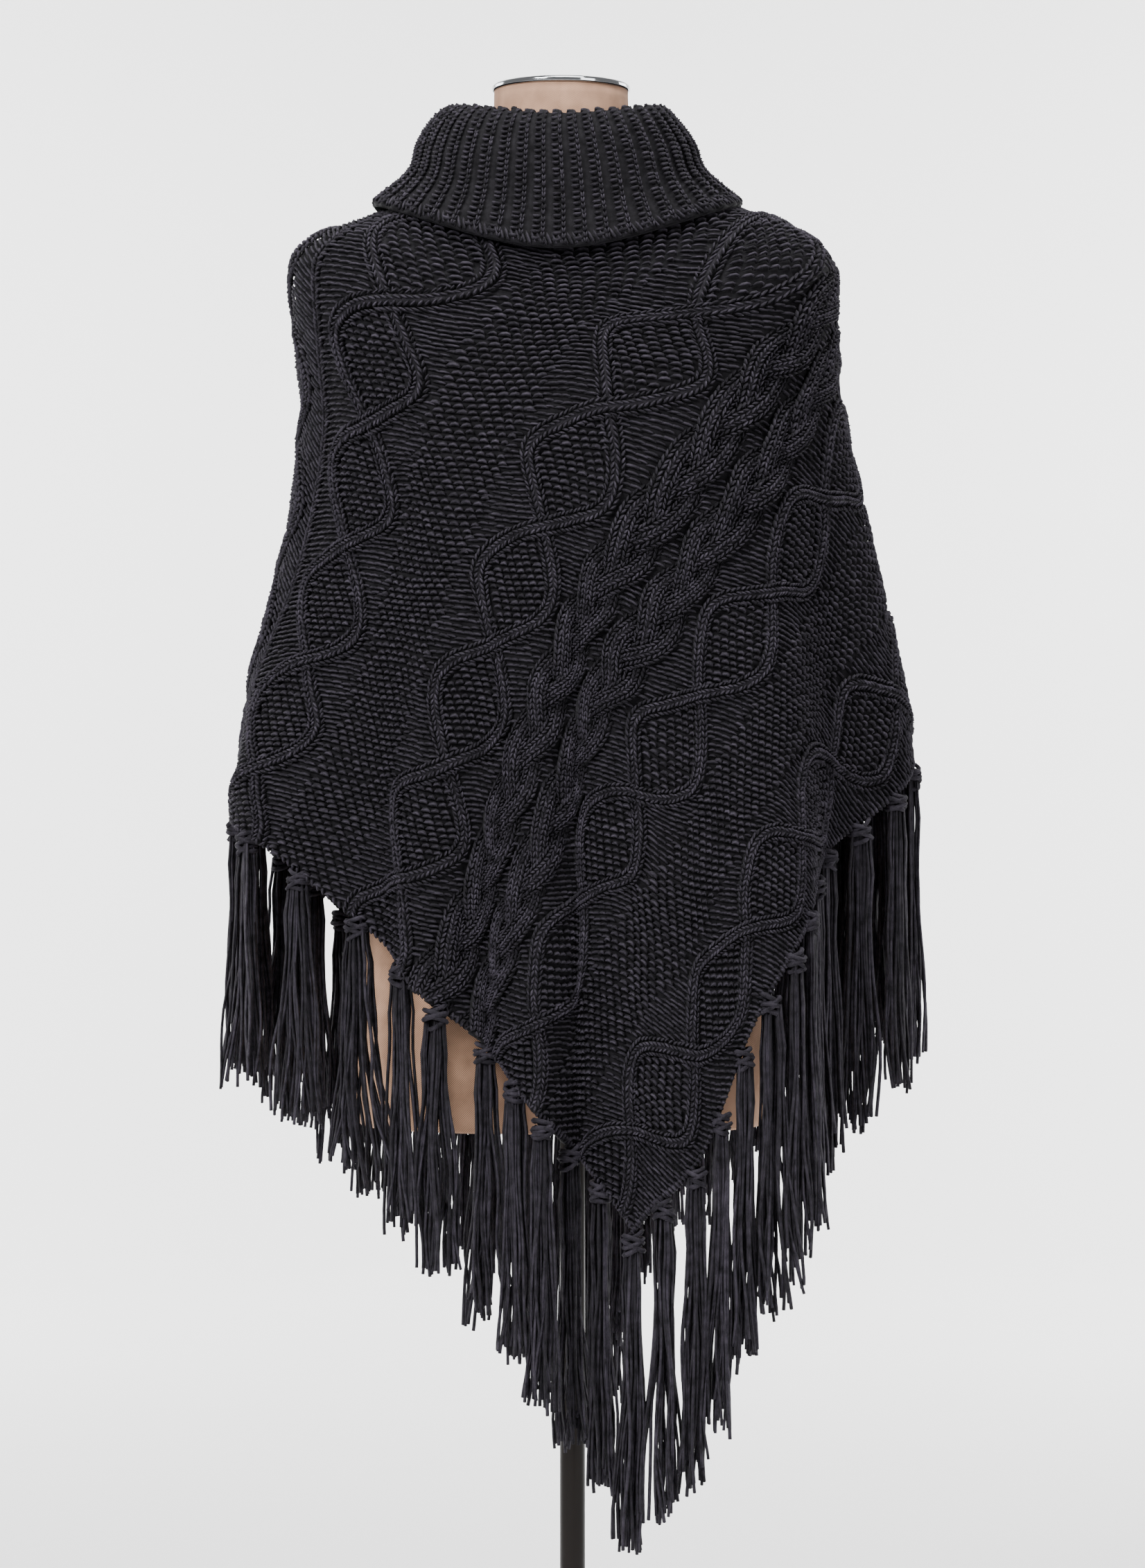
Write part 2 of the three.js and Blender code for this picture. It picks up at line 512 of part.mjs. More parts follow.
function tasselGeometry(place, index, hemGap) {
  const corner = [CLOTH_W, CLOTH_W + 2 * HALF_H].some((s) => Math.abs(place.along - s) < 1);
  const before = hemPoint(place.along - 10).point;
  const after = hemPoint(place.along + 10).point;
  const here = hemPoint(place.along);
  const tangent = corner
    ? new THREE.Vector3().crossVectors(here.normal, new THREE.Vector3(0, 0, 1)).negate().normalize()
    : after.clone().sub(before).normalize();
  const outward = corner
    ? new THREE.Vector3(0, 0, -1)
    : new THREE.Vector3().crossVectors(here.normal, tangent).normalize();
  if (!corner && outward.dot(here.point.clone().sub(wornPolar(polarOf(...hemPlace(place.along)).turn,
    polarOf(...hemPlace(place.along)).rho - 30))) < 0) outward.negate();
  const flat = new THREE.Vector3(tangent.x, tangent.y, 0);
  const level = (p) => Math.hypot(p.x - here.point.x, p.y - here.point.y);
  const room = Math.min(
    level(hemPoint(place.along - place.gap).point),
    level(hemPoint(place.along + place.gap).point),
  );
  const share = clamp(0.84 * Math.min(room, flat.length() * place.gap) / 42, 0.3, 1);
  flat.normalize();
  const face = new THREE.Vector3(here.normal.x, here.normal.y, 0);
  face.addScaledVector(flat, -face.dot(flat)).normalize();
  const depth = TASSEL_HEAD.depth + 8 * (1 - share);
  const width = TASSEL_HEAD.width * share;
  const spread = 42 * share;
  const length = tasselLength(place.along);
  const positions = [];
  const faces = [];
  const add = (p) => {
    positions.push([p.x, p.y, p.z]);
    return positions.length - 1;
  };
  // top of the head, set just off the hem along the hem's own slope
  const half = corner ? 4 : 8 * share;
  const topAt = (side) => {
    const base = corner ? here.point.clone().addScaledVector(flat, side * half)
      : hemPoint(place.along + side * half / Math.max(flat.length() * share, 0.4) * share).point;
    return base.addScaledVector(outward, hemGap);
  };
  const centre = here.point.clone().addScaledVector(outward, hemGap + 3);
  const spot = (x, y, z) => centre.clone().addScaledVector(flat, x).addScaledVector(face, y)
    .add(new THREE.Vector3(0, 0, z));
  const turned = tangent.dot(flat) < 0 ? -1 : 1;
  const top = [
    add(topAt(-turned).addScaledVector(face, 3)), add(topAt(turned).addScaledVector(face, 3)),
    add(topAt(turned).addScaledVector(face, -3)), add(topAt(-turned).addScaledVector(face, -3)),
  ];
  const mid = [
    add(spot(-width / 2 - 1.5 * share, depth / 2 + 1, -TASSEL_HEAD.bulge)),
    add(spot(width / 2 + 1.5 * share, depth / 2 + 1, -TASSEL_HEAD.bulge)),
    add(spot(width / 2 + 1.5 * share, -depth / 2 - 1, -TASSEL_HEAD.bulge)),
    add(spot(-width / 2 - 1.5 * share, -depth / 2 - 1, -TASSEL_HEAD.bulge)),
  ];
  const strands = 4;
  const front = [];
  const back = [];
  for (let i = 0; i < strands; i += 1) {
    const x0 = -width / 2 + width * i / strands;
    const x1 = x0 + width / strands;
    const inset = 0.1 * width / strands;
    front.push(add(spot(i === 0 ? x0 : x0 + inset, depth / 2, -TASSEL_HEAD.drop)));
    front.push(add(spot(i === strands - 1 ? x1 : x1 - inset, depth / 2, -TASSEL_HEAD.drop)));
    back.push(add(spot(-width / 2 + width * i / (strands - 1), -depth / 2, -TASSEL_HEAD.drop)));
  }
  const quad = (a, b, c, d) => faces.push([a, b, c], [a, c, d]);
  quad(top[3], top[2], top[1], top[0]);
  for (let i = 0; i < 4; i += 1) quad(top[i], top[(i + 1) % 4], mid[(i + 1) % 4], mid[i]);
  // front, back and ends of the lower head
  zip([mid[0], mid[1]], [0, 1], front, front.map((f, i) => i / (front.length - 1)), faces, false);
  zip([mid[3], mid[2]], [0, 1], back, back.map((f, i) => i / (back.length - 1)), faces, true);
  quad(mid[1], mid[2], back[3], front[7]);
  quad(mid[3], mid[0], front[0], back[0]);
  for (let i = 0; i < strands - 1; i += 1) quad(front[2 * i + 1], front[2 * i + 2], back[i + 1], back[i]);
  // hanging strands, three sided
  for (let i = 0; i < strands; i += 1) {
    let ring = [front[2 * i], front[2 * i + 1], back[i]];
    const sway = Math.sin(index * 2.3 + i * 1.9);
    const end = length + 7 * Math.sin(index * 1.7 + i * 2.6);
    [[0.45, 0.7], [1, 1]].forEach(([t, open]) => {
      const z = -mix(TASSEL_HEAD.drop, end, t);
      const pitch = mix(width, spread, open) / strands;
      const x = (i - (strands - 1) / 2) * pitch + sway * 0.08 * pitch;
      const y = 1.5 * sway * t;
      const w = pitch * 0.36;
      const next = [
        add(spot(x - w, y + 4, z)), add(spot(x + w, y + 4, z)), add(spot(x, y - 5, z)),
      ];
      for (let k = 0; k < 3; k += 1) quad(ring[k], ring[(k + 1) % 3], next[(k + 1) % 3], next[k]);
      ring = next;
    });
    faces.push([ring[0], ring[1], ring[2]]);
  }
  const g = geometryOf(positions, faces);
  // turn the faces outward if the local axes are left handed
  const handed = new THREE.Vector3().crossVectors(flat, face).z;
  if (handed < 0) {
    const index2 = Array.from(g.index.array);
    for (let i = 0; i < index2.length; i += 3) {
      const keep = index2[i + 1];
      index2[i + 1] = index2[i + 2];
      index2[i + 2] = keep;
    }
    g.setIndex(index2);
    g.computeVertexNormals();
  }
  return g;
}

// dress form: limbless torso, neck cap, pole and base
const FORM = [
  { z: 679, side: 152, front: 100, back: 100 },
  { z: 685, side: 161, front: 107, back: 107 },
  { z: 735, side: 166, front: 111, back: 112 },
  { z: 800, side: 163, front: 108, back: 112 },
  { z: 865, side: 149, front: 101, back: 104 },
  { z: 930, side: 128, front: 94, back: 90 },
  { z: 990, side: 118, front: 91, back: 80 },
  { z: 1060, side: 128, front: 98, back: 84 },
  { z: 1130, side: 150, front: 117, back: 92 },
  { z: 1200, side: 167, front: 134, back: 98 },
  { z: 1255, side: 177, front: 122, back: 101 },
  { z: 1300, side: 188, front: 111, back: 101 },
  { z: 1334, side: 191.5, front: 99, back: 98 },
  { z: 1357, side: 180.6, front: 89, back: 94 },
  { z: 1375, side: 152.6, front: 80, back: 88 },
  { z: 1389, side: 114, front: 69, back: 79 },
  { z: 1400, side: 80, front: 61, back: 69 },
  { z: 1416, side: 65, front: 58, back: 63 },
  { z: 1440, side: 55, front: 54, back: 55 },
  { z: 1489.6, side: 53, front: 53, back: 53 },
];

function formGeometry() {
  const around = 24;
  const positions = [];
  const faces = [];
  FORM.forEach((level) => {
    const power = level.side > 100 ? 2.25 : 2;
    for (let k = 0; k < around; k += 1) {
      const azimuth = 360 * k / around;
      const r = planReach(azimuth, level.side, level.side, level.front, level.back, power);
      positions.push([CENTRE_X + r * Math.sin(azimuth * RAD), -r * Math.cos(azimuth * RAD), level.z]);
    }
  });
  for (let j = 0; j < FORM.length - 1; j += 1) {
    for (let k = 0; k < around; k += 1) {
      const n = (k + 1) % around;
      const a = j * around + k;
      const b = j * around + n;
      const c = (j + 1) * around + n;
      const d = (j + 1) * around + k;
      faces.push([a, b, c], [a, c, d]);
    }
  }
  const low = positions.push([CENTRE_X, 0, FORM[0].z]) - 1;
  const high = positions.push([CENTRE_X, 0, FORM[FORM.length - 1].z]) - 1;
  const lift = (FORM.length - 1) * around;
  for (let k = 0; k < around; k += 1) {
    const n = (k + 1) % around;
    faces.push([low, n, k], [high, lift + k, lift + n]);
  }
  return geometryOf(positions, faces);
}

function turnedGeometry(profile, x, sides) {
  const g = new THREE.LatheGeometry(profile.map(([r, z]) => new THREE.Vector2(r, z)), sides);
  g.rotateX(Math.PI / 2);
  g.translate(x, 0, 0);
  return g;
}

const CAP_PROFILE = [[0, 1490], [54, 1490], [54, 1496], [52, 1497.4], [0, 1498.6]];
const POLE_PROFILE = [[0, 46.3], [10, 46.3], [10, 678.7], [0, 678.7]];
const BASE_PROFILE = [[0, 0], [160, 0], [160, 9], [156, 12], [24, 17], [19, 24], [19, 46], [0, 46]];

const group = new THREE.Group();
const yarn = new THREE.MeshStandardMaterial({ color: 0x2b2a2f, roughness: 0.95 });
const linen = new THREE.MeshStandardMaterial({ color: 0xcba58a, roughness: 0.9 });
const chrome = new THREE.MeshStandardMaterial({ color: 0xc8cacc, roughness: 0.15, metalness: 1 });
const paint = new THREE.MeshStandardMaterial({ color: 0x2a211d, roughness: 0.35 });

function addPart(name, geometry, material) {
  const mesh = new THREE.Mesh(geometry, material.clone());
  mesh.name = name;
  group.add(mesh);
}

// tassel moved along its place on the hem until it sits the seam's gap below the cloth
function seatedTassel(body, place, index) {
  let offset = 2 * HEM_GAP;
  let geometry = tasselGeometry(place, index, offset);
  for (let turn = 0; turn < 5; turn += 1) {
    const gap = body.minGap(solidOf(geometry), 10);
    if (gap > 0.7 * HEM_GAP && gap < 1.3 * HEM_GAP) break;
    offset += gap < 0.001 ? 0.6 : HEM_GAP - gap;
    geometry = tasselGeometry(place, index, offset);
  }
  return geometry;
}

const bodySolid = bodyManifold();
addPart("poncho_body", fromManifold(bodySolid), yarn);
addPart("collar", collarGeometry(), yarn);
tasselPlaces().forEach((place, i) => {
  addPart(`tassel_${String(i + 1).padStart(2, "0")}`, seatedTassel(bodySolid, place, i), yarn);
});
addPart("torso", formGeometry(), linen);
addPart("neck_cap", turnedGeometry(CAP_PROFILE, CENTRE_X, 32), chrome);
addPart("pole", turnedGeometry(POLE_PROFILE, 0, 24), paint);
addPart("base", turnedGeometry(BASE_PROFILE, 0, 40), paint);

export default group;
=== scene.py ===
"""Cable-knit poncho on a dress form. Each stitch is a short closed length of yarn, placed on a flat
chart of the cloth, and cloth(u, v) bends the chart to the worn shape. Sizes are in mm and turned
to metres in add_mesh; the camera, the floor and the lights are in metres."""
import math

import bpy
import numpy as np
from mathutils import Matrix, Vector


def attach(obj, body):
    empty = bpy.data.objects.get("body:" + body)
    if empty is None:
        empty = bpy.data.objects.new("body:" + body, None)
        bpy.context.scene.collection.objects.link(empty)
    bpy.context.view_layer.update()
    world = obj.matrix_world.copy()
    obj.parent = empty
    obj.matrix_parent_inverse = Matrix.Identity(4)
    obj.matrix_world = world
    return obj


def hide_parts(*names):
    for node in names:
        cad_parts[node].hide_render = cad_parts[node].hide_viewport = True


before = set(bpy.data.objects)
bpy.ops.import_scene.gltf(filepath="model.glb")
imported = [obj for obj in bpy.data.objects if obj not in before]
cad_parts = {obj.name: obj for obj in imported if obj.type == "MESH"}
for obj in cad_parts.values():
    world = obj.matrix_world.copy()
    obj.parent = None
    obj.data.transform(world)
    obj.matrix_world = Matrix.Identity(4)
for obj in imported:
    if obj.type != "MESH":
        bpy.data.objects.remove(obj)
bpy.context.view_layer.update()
MM = 0.001
rng = np.random.default_rng(7)

# camera and stage, at the height and distance of the picture
camera_data = bpy.data.cameras.new("camera")
camera_data.sensor_fit = "VERTICAL"
camera_data.sensor_height = 36
camera_data.lens = 98.98
camera = bpy.data.objects.new("camera", camera_data)
camera.location = (0, -3.4, 0.947)
camera.rotation_euler = (math.radians(90), 0, 0)
bpy.context.scene.collection.objects.link(camera)
bpy.context.scene.camera = camera

# sizes of the knitted rectangle, as in the solids: u across from the sewn edge, v along from the
# front hem over the fold at HALF_H to the back hem
CLOTH_W, HALF_H, NECK_R = 545.0, 665.0, 105.0
HEM = 2 * CLOTH_W + 2 * HALF_H
WALL, CENTRE_X = 4.0, -9.0

# cables: centre line and first crossing of each diamond column, centre line and hand of each braid
DIAMONDS = ((50.0, 52.0), (190.0, 60.0), (355.0, 52.0), (495.0, 52.0))
DIAMOND_PITCH, FIRST_CROSSING, DIAMOND_REACH, CORNER_ROUND = 98.0, 52.0, 31.0, 0.35
BRAIDS = ((250.0, 1), (294.0, -1))
BRAID_PERIOD, BRAID_REACH = 147.0, 12.4
MOSS_BANDS, MOSS_HALF = (120.0, 425.0), 27

# stitches: width and height of one in the ground, the moss and the cables, and the rows' slant
PURL_WALE, PURL_COURSE = 6.2, 3.9
MOSS_WALE, MOSS_COURSE = 6.4, 4.7
LEG_COURSE, LEG_LENGTH = 3.9, 5.6
DIAMOND_WALE, BRAID_WALE, CHAIN_WALE = 6.9, 5.5, 7.0
ROW_SKEW = 0.5

# worn shape: left, right, front and back reach, and height at side, front and back
LEVELS = np.array([
    (86, 86, 80, 78, 1412, 1390, 1424),
    (146, 146, 106, 97, 1394, 1350, 1380),
    (192, 194, 122, 104, 1374, 1315, 1345),
    (209, 213, 137, 111, 1350, 1272, 1300),
    (204, 214, 147, 115, 1280, 1220, 1230),
    (199, 220, 152, 118, 1225, 1160, 1170),
    (214, 240, 158, 130, 1125, 1040, 1050),
    (246, 268, 164, 148, 985, 860, 870),
    (275, 300, 172, 168, 700, 560, 600),
], float)

# turn about the neck corner of the flat cloth: azimuth at neck, middle and hem, stretch at middle
# and hem, rise 150 mm and swing 110 mm below the neck edge
TURNS = np.array([
    (0, -80, -68, -95, 1.045, 1.045, 0, 0),
    (10, -61, -50, -62, 1.04, 1.035, 0, 0),
    (20, -41, -31, -33, 1.03, 1.05, 0, 0),
    (30, -20, -8, -7, 1.02, 1.06, 6, 0),
    (39.3, 0, 12, 17, 1.05, 1.06, 17, -2),
    (44, 11, 23, 30, 1.08, 1.11, 20, -3),
    (50, 27, 35, 40, 1.11, 1.09, 18, -6),
    (60, 46, 52, 55, 1.14, 1.13, 10, -8),
    (70, 64, 67, 72, 1.15, 1.2, 3, -4),
    (80, 83, 82, 87, 1.1, 1.2, 0, 0),
    (90, 99, 97, 101, 1.08, 1.2, 0, 0),
    (110, 124, 124, 122, 1.1, 1.18, 0, 0),
    (120, 140, 138, 133, 1.08, 1.1, 0, 0),
    (130, 157, 155, 150, 1.05, 1.06, 0, 0),
    (140.7, 178, 178, 173, 1.05, 1.05, 0, 0),
    (150, 200, 217, 195, 1.03, 1.04, 0, 0),
    (160, 226, 243, 219, 1.03, 1.05, 0, 0),
    (170, 253, 268, 243, 1.04, 1.05, 0, 0),
    (180, 280, 292, 265, 1.045, 1.045, 0, 0),
], float)
MIDDLE_D = 260.0

# hanging folds: azimuth against outward reach at the hem
FOLDS = np.array([
    (-110, -10), (-80, 6), (-62, -8), (-45, -16), (-33, 8), (-20, -14), (-6, 10), (5, -16),
    (17, 6), (30, 14), (46, 30), (66, -28), (84, 8), (100, -8), (130, 24), (150, -18),
    (170, 20), (200, -18), (225, 20), (250, -10),
], float)


def smooth(t):
    """Soft step from 0 to 1."""
    t = np.clip(t, 0, 1)
    return t * t * (3 - 2 * t)


def plan_reach(azimuth, left, right, front, back, power=2.3):
    """Reach at an azimuth of a rounded plan: (|sin/side|^power + |cos/deep|^power)^(-1/power)."""
    s, c = np.sin(azimuth), np.cos(azimuth)
    side = np.where(s < 0, left, right)
    deep = np.where(c > 0, front, back)
    return (np.abs(s / side) ** power + np.abs(c / deep) ** power) ** (-1 / power)


def plan_height(azimuth, side_z, front_z, back_z):
    """Height at an azimuth, between the side's and the front's or the back's."""
    w = np.sin(azimuth) ** 2
    return np.where(np.cos(azimuth) > 0, front_z, back_z) * (1 - w) + side_z * w


def catmull(a, k):
    """Cubic through the columns of a, k steps between two columns."""
    t = np.arange(k) / k
    m = a.shape[1]
    out = []
    for j in range(m - 1):
        p0, p1 = a[:, max(j - 1, 0)][:, None], a[:, j][:, None]
        p2, p3 = a[:, j + 1][:, None], a[:, min(j + 2, m - 1)][:, None]
        out.append(0.5 * (2 * p1 + (p2 - p0) * t + (2 * p0 - 5 * p1 + 4 * p2 - p3) * t ** 2
                          + (3 * p1 - p0 - 3 * p2 + p3) * t ** 3))
    out.append(a[:, -1:])
    return np.concatenate(out, 1)


def level_tables():
    """Reach and height at each degree of azimuth and each 2 mm of length below the neck edge."""
    az = np.radians(np.arange(-180, 181, 1.0))[:, None]
    left, right, front, back, side_z, front_z, back_z = LEVELS.T
    r = catmull(plan_reach(az, left, right, front, back), 10)
    z = catmull(plan_height(az, side_z, front_z, back_z), 10)
    arc = np.concatenate([np.zeros((len(az), 1)),
                          np.cumsum(np.hypot(np.diff(r, axis=1), np.diff(z, axis=1)), 1)], 1)
    s = np.arange(0, 1101, 2.0)
    reach, height = np.empty((len(az), len(s))), np.empty((len(az), len(s)))
    for i in range(len(az)):
        past = np.maximum(s - arc[i, -1], 0)
        step = arc[i, -1] - arc[i, -3]
        reach[i] = np.interp(s, arc[i], r[i]) + past * (r[i, -1] - r[i, -3]) / step
        height[i] = np.interp(s, arc[i], z[i]) + past * (z[i, -1] - z[i, -3]) / step
    return reach, height


REACH, HEIGHT = level_tables()


def along_table(x, xs, ys):
    """Cubic through unevenly spaced rows, with the slopes of the neighbours."""
    m = np.gradient(ys, xs)
    i = np.clip(np.searchsorted(xs, x) - 1, 0, len(xs) - 2)
    h = xs[i + 1] - xs[i]
    t = (x - xs[i]) / h
    return ((2 * t ** 3 - 3 * t ** 2 + 1) * ys[i] + (t ** 3 - 2 * t ** 2 + t) * h * m[i]
            + (-2 * t ** 3 + 3 * t ** 2) * ys[i + 1] + (t ** 3 - t ** 2) * h * m[i + 1])


def fold_reach(azimuth):
    """Half cosine waves between the rows of FOLDS."""
    a = (azimuth + 110) % 360 - 110
    xs = np.append(FOLDS[:, 0], FOLDS[0, 0] + 360)
    ys = np.append(FOLDS[:, 1], FOLDS[0, 1])
    i = np.clip(np.searchsorted(xs, a, side="right") - 1, 0, len(xs) - 2)
    t = (a - xs[i]) / (xs[i + 1] - xs[i])
    return ys[i] + (ys[i + 1] - ys[i]) * (1 - np.cos(np.pi * t)) / 2


def hem_reach(turn):
    """Distance in the flat cloth from the neck corner to the hem, at a turn in radians."""
    return np.minimum(CLOTH_W / np.maximum(np.abs(np.sin(turn)), 1e-6),
                      HALF_H / np.maximum(np.abs(np.cos(turn)), 1e-6))


def worn(u, v):
    """Flat cloth to worn place: turn and distance about the neck corner become azimuth round the
    body and length down it; past the sewn edge the place goes on over the other half."""
    u, v = np.broadcast_arrays(np.asarray(u, float), np.asarray(v, float))
    v = np.where(u < 0, 2 * HALF_H - v, v)
    u = np.abs(u)
    turn = np.degrees(np.arctan2(u, HALF_H - v))
    rho = np.hypot(u, HALF_H - v)
    hem_d = hem_reach(np.radians(turn)) - NECK_R
    d = np.maximum(rho - NECK_R, 0)
    top, middle, hem, pull, hem_pull, rise, swing = (
        along_table(turn, TURNS[:, 0], TURNS[:, k]) for k in range(1, 8))
    azimuth = (top * (d - MIDDLE_D) * (d - hem_d) / (MIDDLE_D * hem_d)
               + middle * d * (d - hem_d) / (MIDDLE_D * (MIDDLE_D - hem_d))
               + hem * d * (d - MIDDLE_D) / (hem_d * (hem_d - MIDDLE_D))
               + swing * np.exp(-((d - 110) / 45) ** 2))
    q = np.clip((d - 180) / (hem_d - 180), 0, 1.3)
    length = d * (pull + (hem_pull - pull) * q * q * (3 - 2 * q)) - rise * np.exp(-((d - 150) / 70) ** 2)
    length = np.maximum(length, 0)
    wrapped = (azimuth + 180) % 360
    i = np.clip(wrapped.astype(int), 0, 359)
    f = wrapped - i
    k = np.clip((length / 2).astype(int), 0, REACH.shape[1] - 2)
    g = length / 2 - k

    def read(table):
        return (table[i, k] * (1 - f) * (1 - g) + table[i + 1, k] * f * (1 - g)
                + table[i, k + 1] * (1 - f) * g + table[i + 1, k + 1] * f * g)

    r = read(REACH) + fold_reach(azimuth) * np.clip((length - 150) / 500, 0, 1.2) ** 1.5
    a = np.radians(azimuth)
    return np.stack([CENTRE_X + r * np.sin(a), -r * np.cos(a), read(HEIGHT)], -1)


def unit(a):
    """Vectors brought to a length of 1."""
    return a / np.maximum(np.linalg.norm(a, axis=-1, keepdims=True), 1e-9)


def edge_window(u, v, reach=40.0):
    """1 over the cloth, falling to 0 at its hem, its sewn edge and the neck."""
    rho = np.hypot(u, HALF_H - v)
    return (smooth(np.abs(u) / reach) * smooth((CLOTH_W - u) / reach) * smooth(v / reach)
            * smooth((2 * HALF_H - v) / reach) * smooth((rho - NECK_R) / reach))


def ripple(u, v):
    """Soft unevenness of the hanging cloth in mm outwards: long sine waves, none at the edges."""
    waves = (np.sin(u / 17 + v / 29 + 1.0) + np.sin(u / 37 - v / 23 + 2.0)
             + np.sin(v / 15 - u / 53 + 0.5) + 1.4 * np.sin(u / 71 + v / 83))
    return edge_window(u, v) * 0.42 * (4.4 + waves)


def raised(u, v):
    """Worn place moved out by the ripple."""
    place = worn(u, v)
    du = worn(u + 1.0, v) - worn(u - 1.0, v)
    dv = worn(u, v + 1.0) - worn(u, v - 1.0)
    return place + unit(np.cross(du, dv)) * ripple(u, v)[..., None]


def cloth(u, v):
    """Place and outward normal of the cloth's face at a flat point."""
    u, v = np.broadcast_arrays(np.asarray(u, float), np.asarray(v, float))
    du = raised(u + 1.0, v) - raised(u - 1.0, v)
    dv = raised(u, v + 1.0) - raised(u, v - 1.0)
    return raised(u, v), unit(np.cross(du, dv))


def knitted(u, v):
    """The cloth's face with its stitches drawn a little out of line by slow waves in the flat cloth."""
    pull = edge_window(u, v, 60.0)
    du = 0.9 * np.sin(v / 9.0 + 2.1 * np.sin(u / 31.0)) + 0.8 * np.sin(u / 14.0 + v / 22.0 + 0.7)
    dv = 0.9 * np.sin(u / 10.0 + 1.7 * np.sin(v / 27.0)) + 0.8 * np.sin(v / 16.0 - u / 19.0)
    return cloth(u + pull * du, v + pull * dv)


# collar section, from the foot inside the neck over the turn to the rim: side, front, back reach
# and height, and shift to the left
COLLAR = np.array([
    (79, 1409, 73, 1387, 71, 1421, 0),
    (77.5, 1438, 71, 1425, 70, 1450, 0),
    (79, 1465, 72, 1457, 71, 1477, -2),
    (85, 1477.5, 78, 1464.5, 77, 1484.5, -4),
    (97, 1466, 89, 1451, 86, 1468, -5),
    (108, 1449, 100, 1424, 94, 1449, -4),
    (116, 1428, 109, 1391, 101, 1424, -3),
    (146, 1403, 122, 1356, 114, 1388, -3),
], float)
RIBS, RIM_STITCHES, COLLAR_COURSE = 46, 190.0, 4.9
TURN_S = 3.0


def collar_place(a, s):
    """Collar at an azimuth in degrees and a place s along its section, 0 at the foot, 7 at the rim."""
    a = np.radians(np.asarray(a, float))
    a, s = np.broadcast_arrays(a, np.asarray(s, float))
    fine = catmull(COLLAR.T, 16)
    x = np.clip(s * 16, 0, fine.shape[1] - 1.001)
    i = x.astype(int)
    row = fine[:, i] * (1 - (x - i)) + fine[:, i + 1] * (x - i)
    r = plan_reach(a, row[0], row[0], row[2], row[4])
    z = plan_height(a, row[1], row[3], row[5])
    return np.stack([CENTRE_X + row[6] + r * np.sin(a), -r * np.cos(a), z], -1)


def collar(a, s):
    """Place and outward normal of the collar's showing face."""
    lo, hi = np.clip(s - 0.08, 0, 6.99), np.clip(s + 0.08, 0, 6.99)
    da = collar_place(a + 1.0, s) - collar_place(a - 1.0, s)
    ds = collar_place(a, hi) - collar_place(a, lo)
    return collar_place(a, s), unit(np.cross(ds, da))


def add_mesh(name, verts, faces, shade=None, uv=None):
    """A mesh object from arrays in mm; shade is a painted shade value for each vertex, kept in the
    'lift' attribute, uv a pair for each corner.
    """
    mesh = bpy.data.meshes.new(name)
    faces = np.asarray(faces, np.int32)
    n, k = faces.shape
    mesh.vertices.add(len(verts))
    mesh.vertices.foreach_set("co", (np.asarray(verts) * MM).astype(np.float32).ravel())
    mesh.loops.add(n * k)
    mesh.loops.foreach_set("vertex_index", faces.ravel())
    mesh.polygons.add(n)
    mesh.polygons.foreach_set("loop_start", np.arange(0, n * k, k, dtype=np.int32))
    mesh.polygons.foreach_set("use_smooth", np.full(n, True))
    if shade is not None:
        # painted shade for each vertex: the 'lift' attribute darkens the yarn colour in the fibre group
        lift = mesh.attributes.new("lift", "FLOAT", "POINT")
        lift.data.foreach_set("value", shade.astype(np.float32))
    if uv is not None:
        layer = mesh.uv_layers.new(name="yarn")
        layer.data.foreach_set("uv", uv[faces.ravel()].astype(np.float32).ravel())
    mesh.update(calc_edges=True)
    mesh.validate()
    obj = bpy.data.objects.new(name, mesh)
    bpy.context.scene.collection.objects.link(obj)
    return obj


def grid_quads(rows, cols):
    """Quads of a grid of vertices whose columns close in a ring."""
    j, i = np.meshgrid(np.arange(rows - 1), np.arange(cols), indexing="ij")
    nxt = (i + 1) % cols
    corners = [j * cols + i, j * cols + nxt, (j + 1) * cols + nxt, (j + 1) * cols + i]
    return np.stack(corners, -1).reshape(-1, 4)


def closed_band(name, outer, inner):
    """Closed wall between two grids of points whose columns close in a ring."""
    rows, cols = outer.shape[:2]
    quads = grid_quads(rows, cols)
    off, last = rows * cols, (rows - 1) * cols
    k = np.arange(cols)
    nxt = (k + 1) % cols
    first_edge = np.stack([k, nxt, nxt + off, k + off], -1)
    last_edge = np.stack([last + nxt, last + k, last + k + off, last + nxt + off], -1)
    faces = np.concatenate([quads[:, [0, 3, 2, 1]], quads + off, first_edge, last_edge])
    verts = np.concatenate([outer.reshape(-1, 3), inner.reshape(-1, 3)])
    # painted shade: the whole wall kept at 0.4, so it shows darker between the stitches
    return add_mesh(name, verts, faces, np.full(len(verts), 0.4), np.zeros((len(verts), 2)))


def capped_rings(name, rings, low_point, top_point, uv=None):
    """Closed mesh of rings of points, from the lowest up, drawn to a point at each end."""
    rows, cols = rings.shape[:2]
    quads = grid_quads(rows, cols)
    low, top, last = rows * cols, rows * cols + 1, (rows - 1) * cols
    k = np.arange(cols)
    nxt = (k + 1) % cols
    faces = np.concatenate([quads[:, [0, 1, 2]], quads[:, [0, 2, 3]],
                            np.stack([np.full(cols, low), nxt, k], -1),
                            np.stack([np.full(cols, top), last + k, last + nxt], -1)])
    return add_mesh(name, np.concatenate([rings.reshape(-1, 3), [low_point, top_point]]), faces, None, uv)


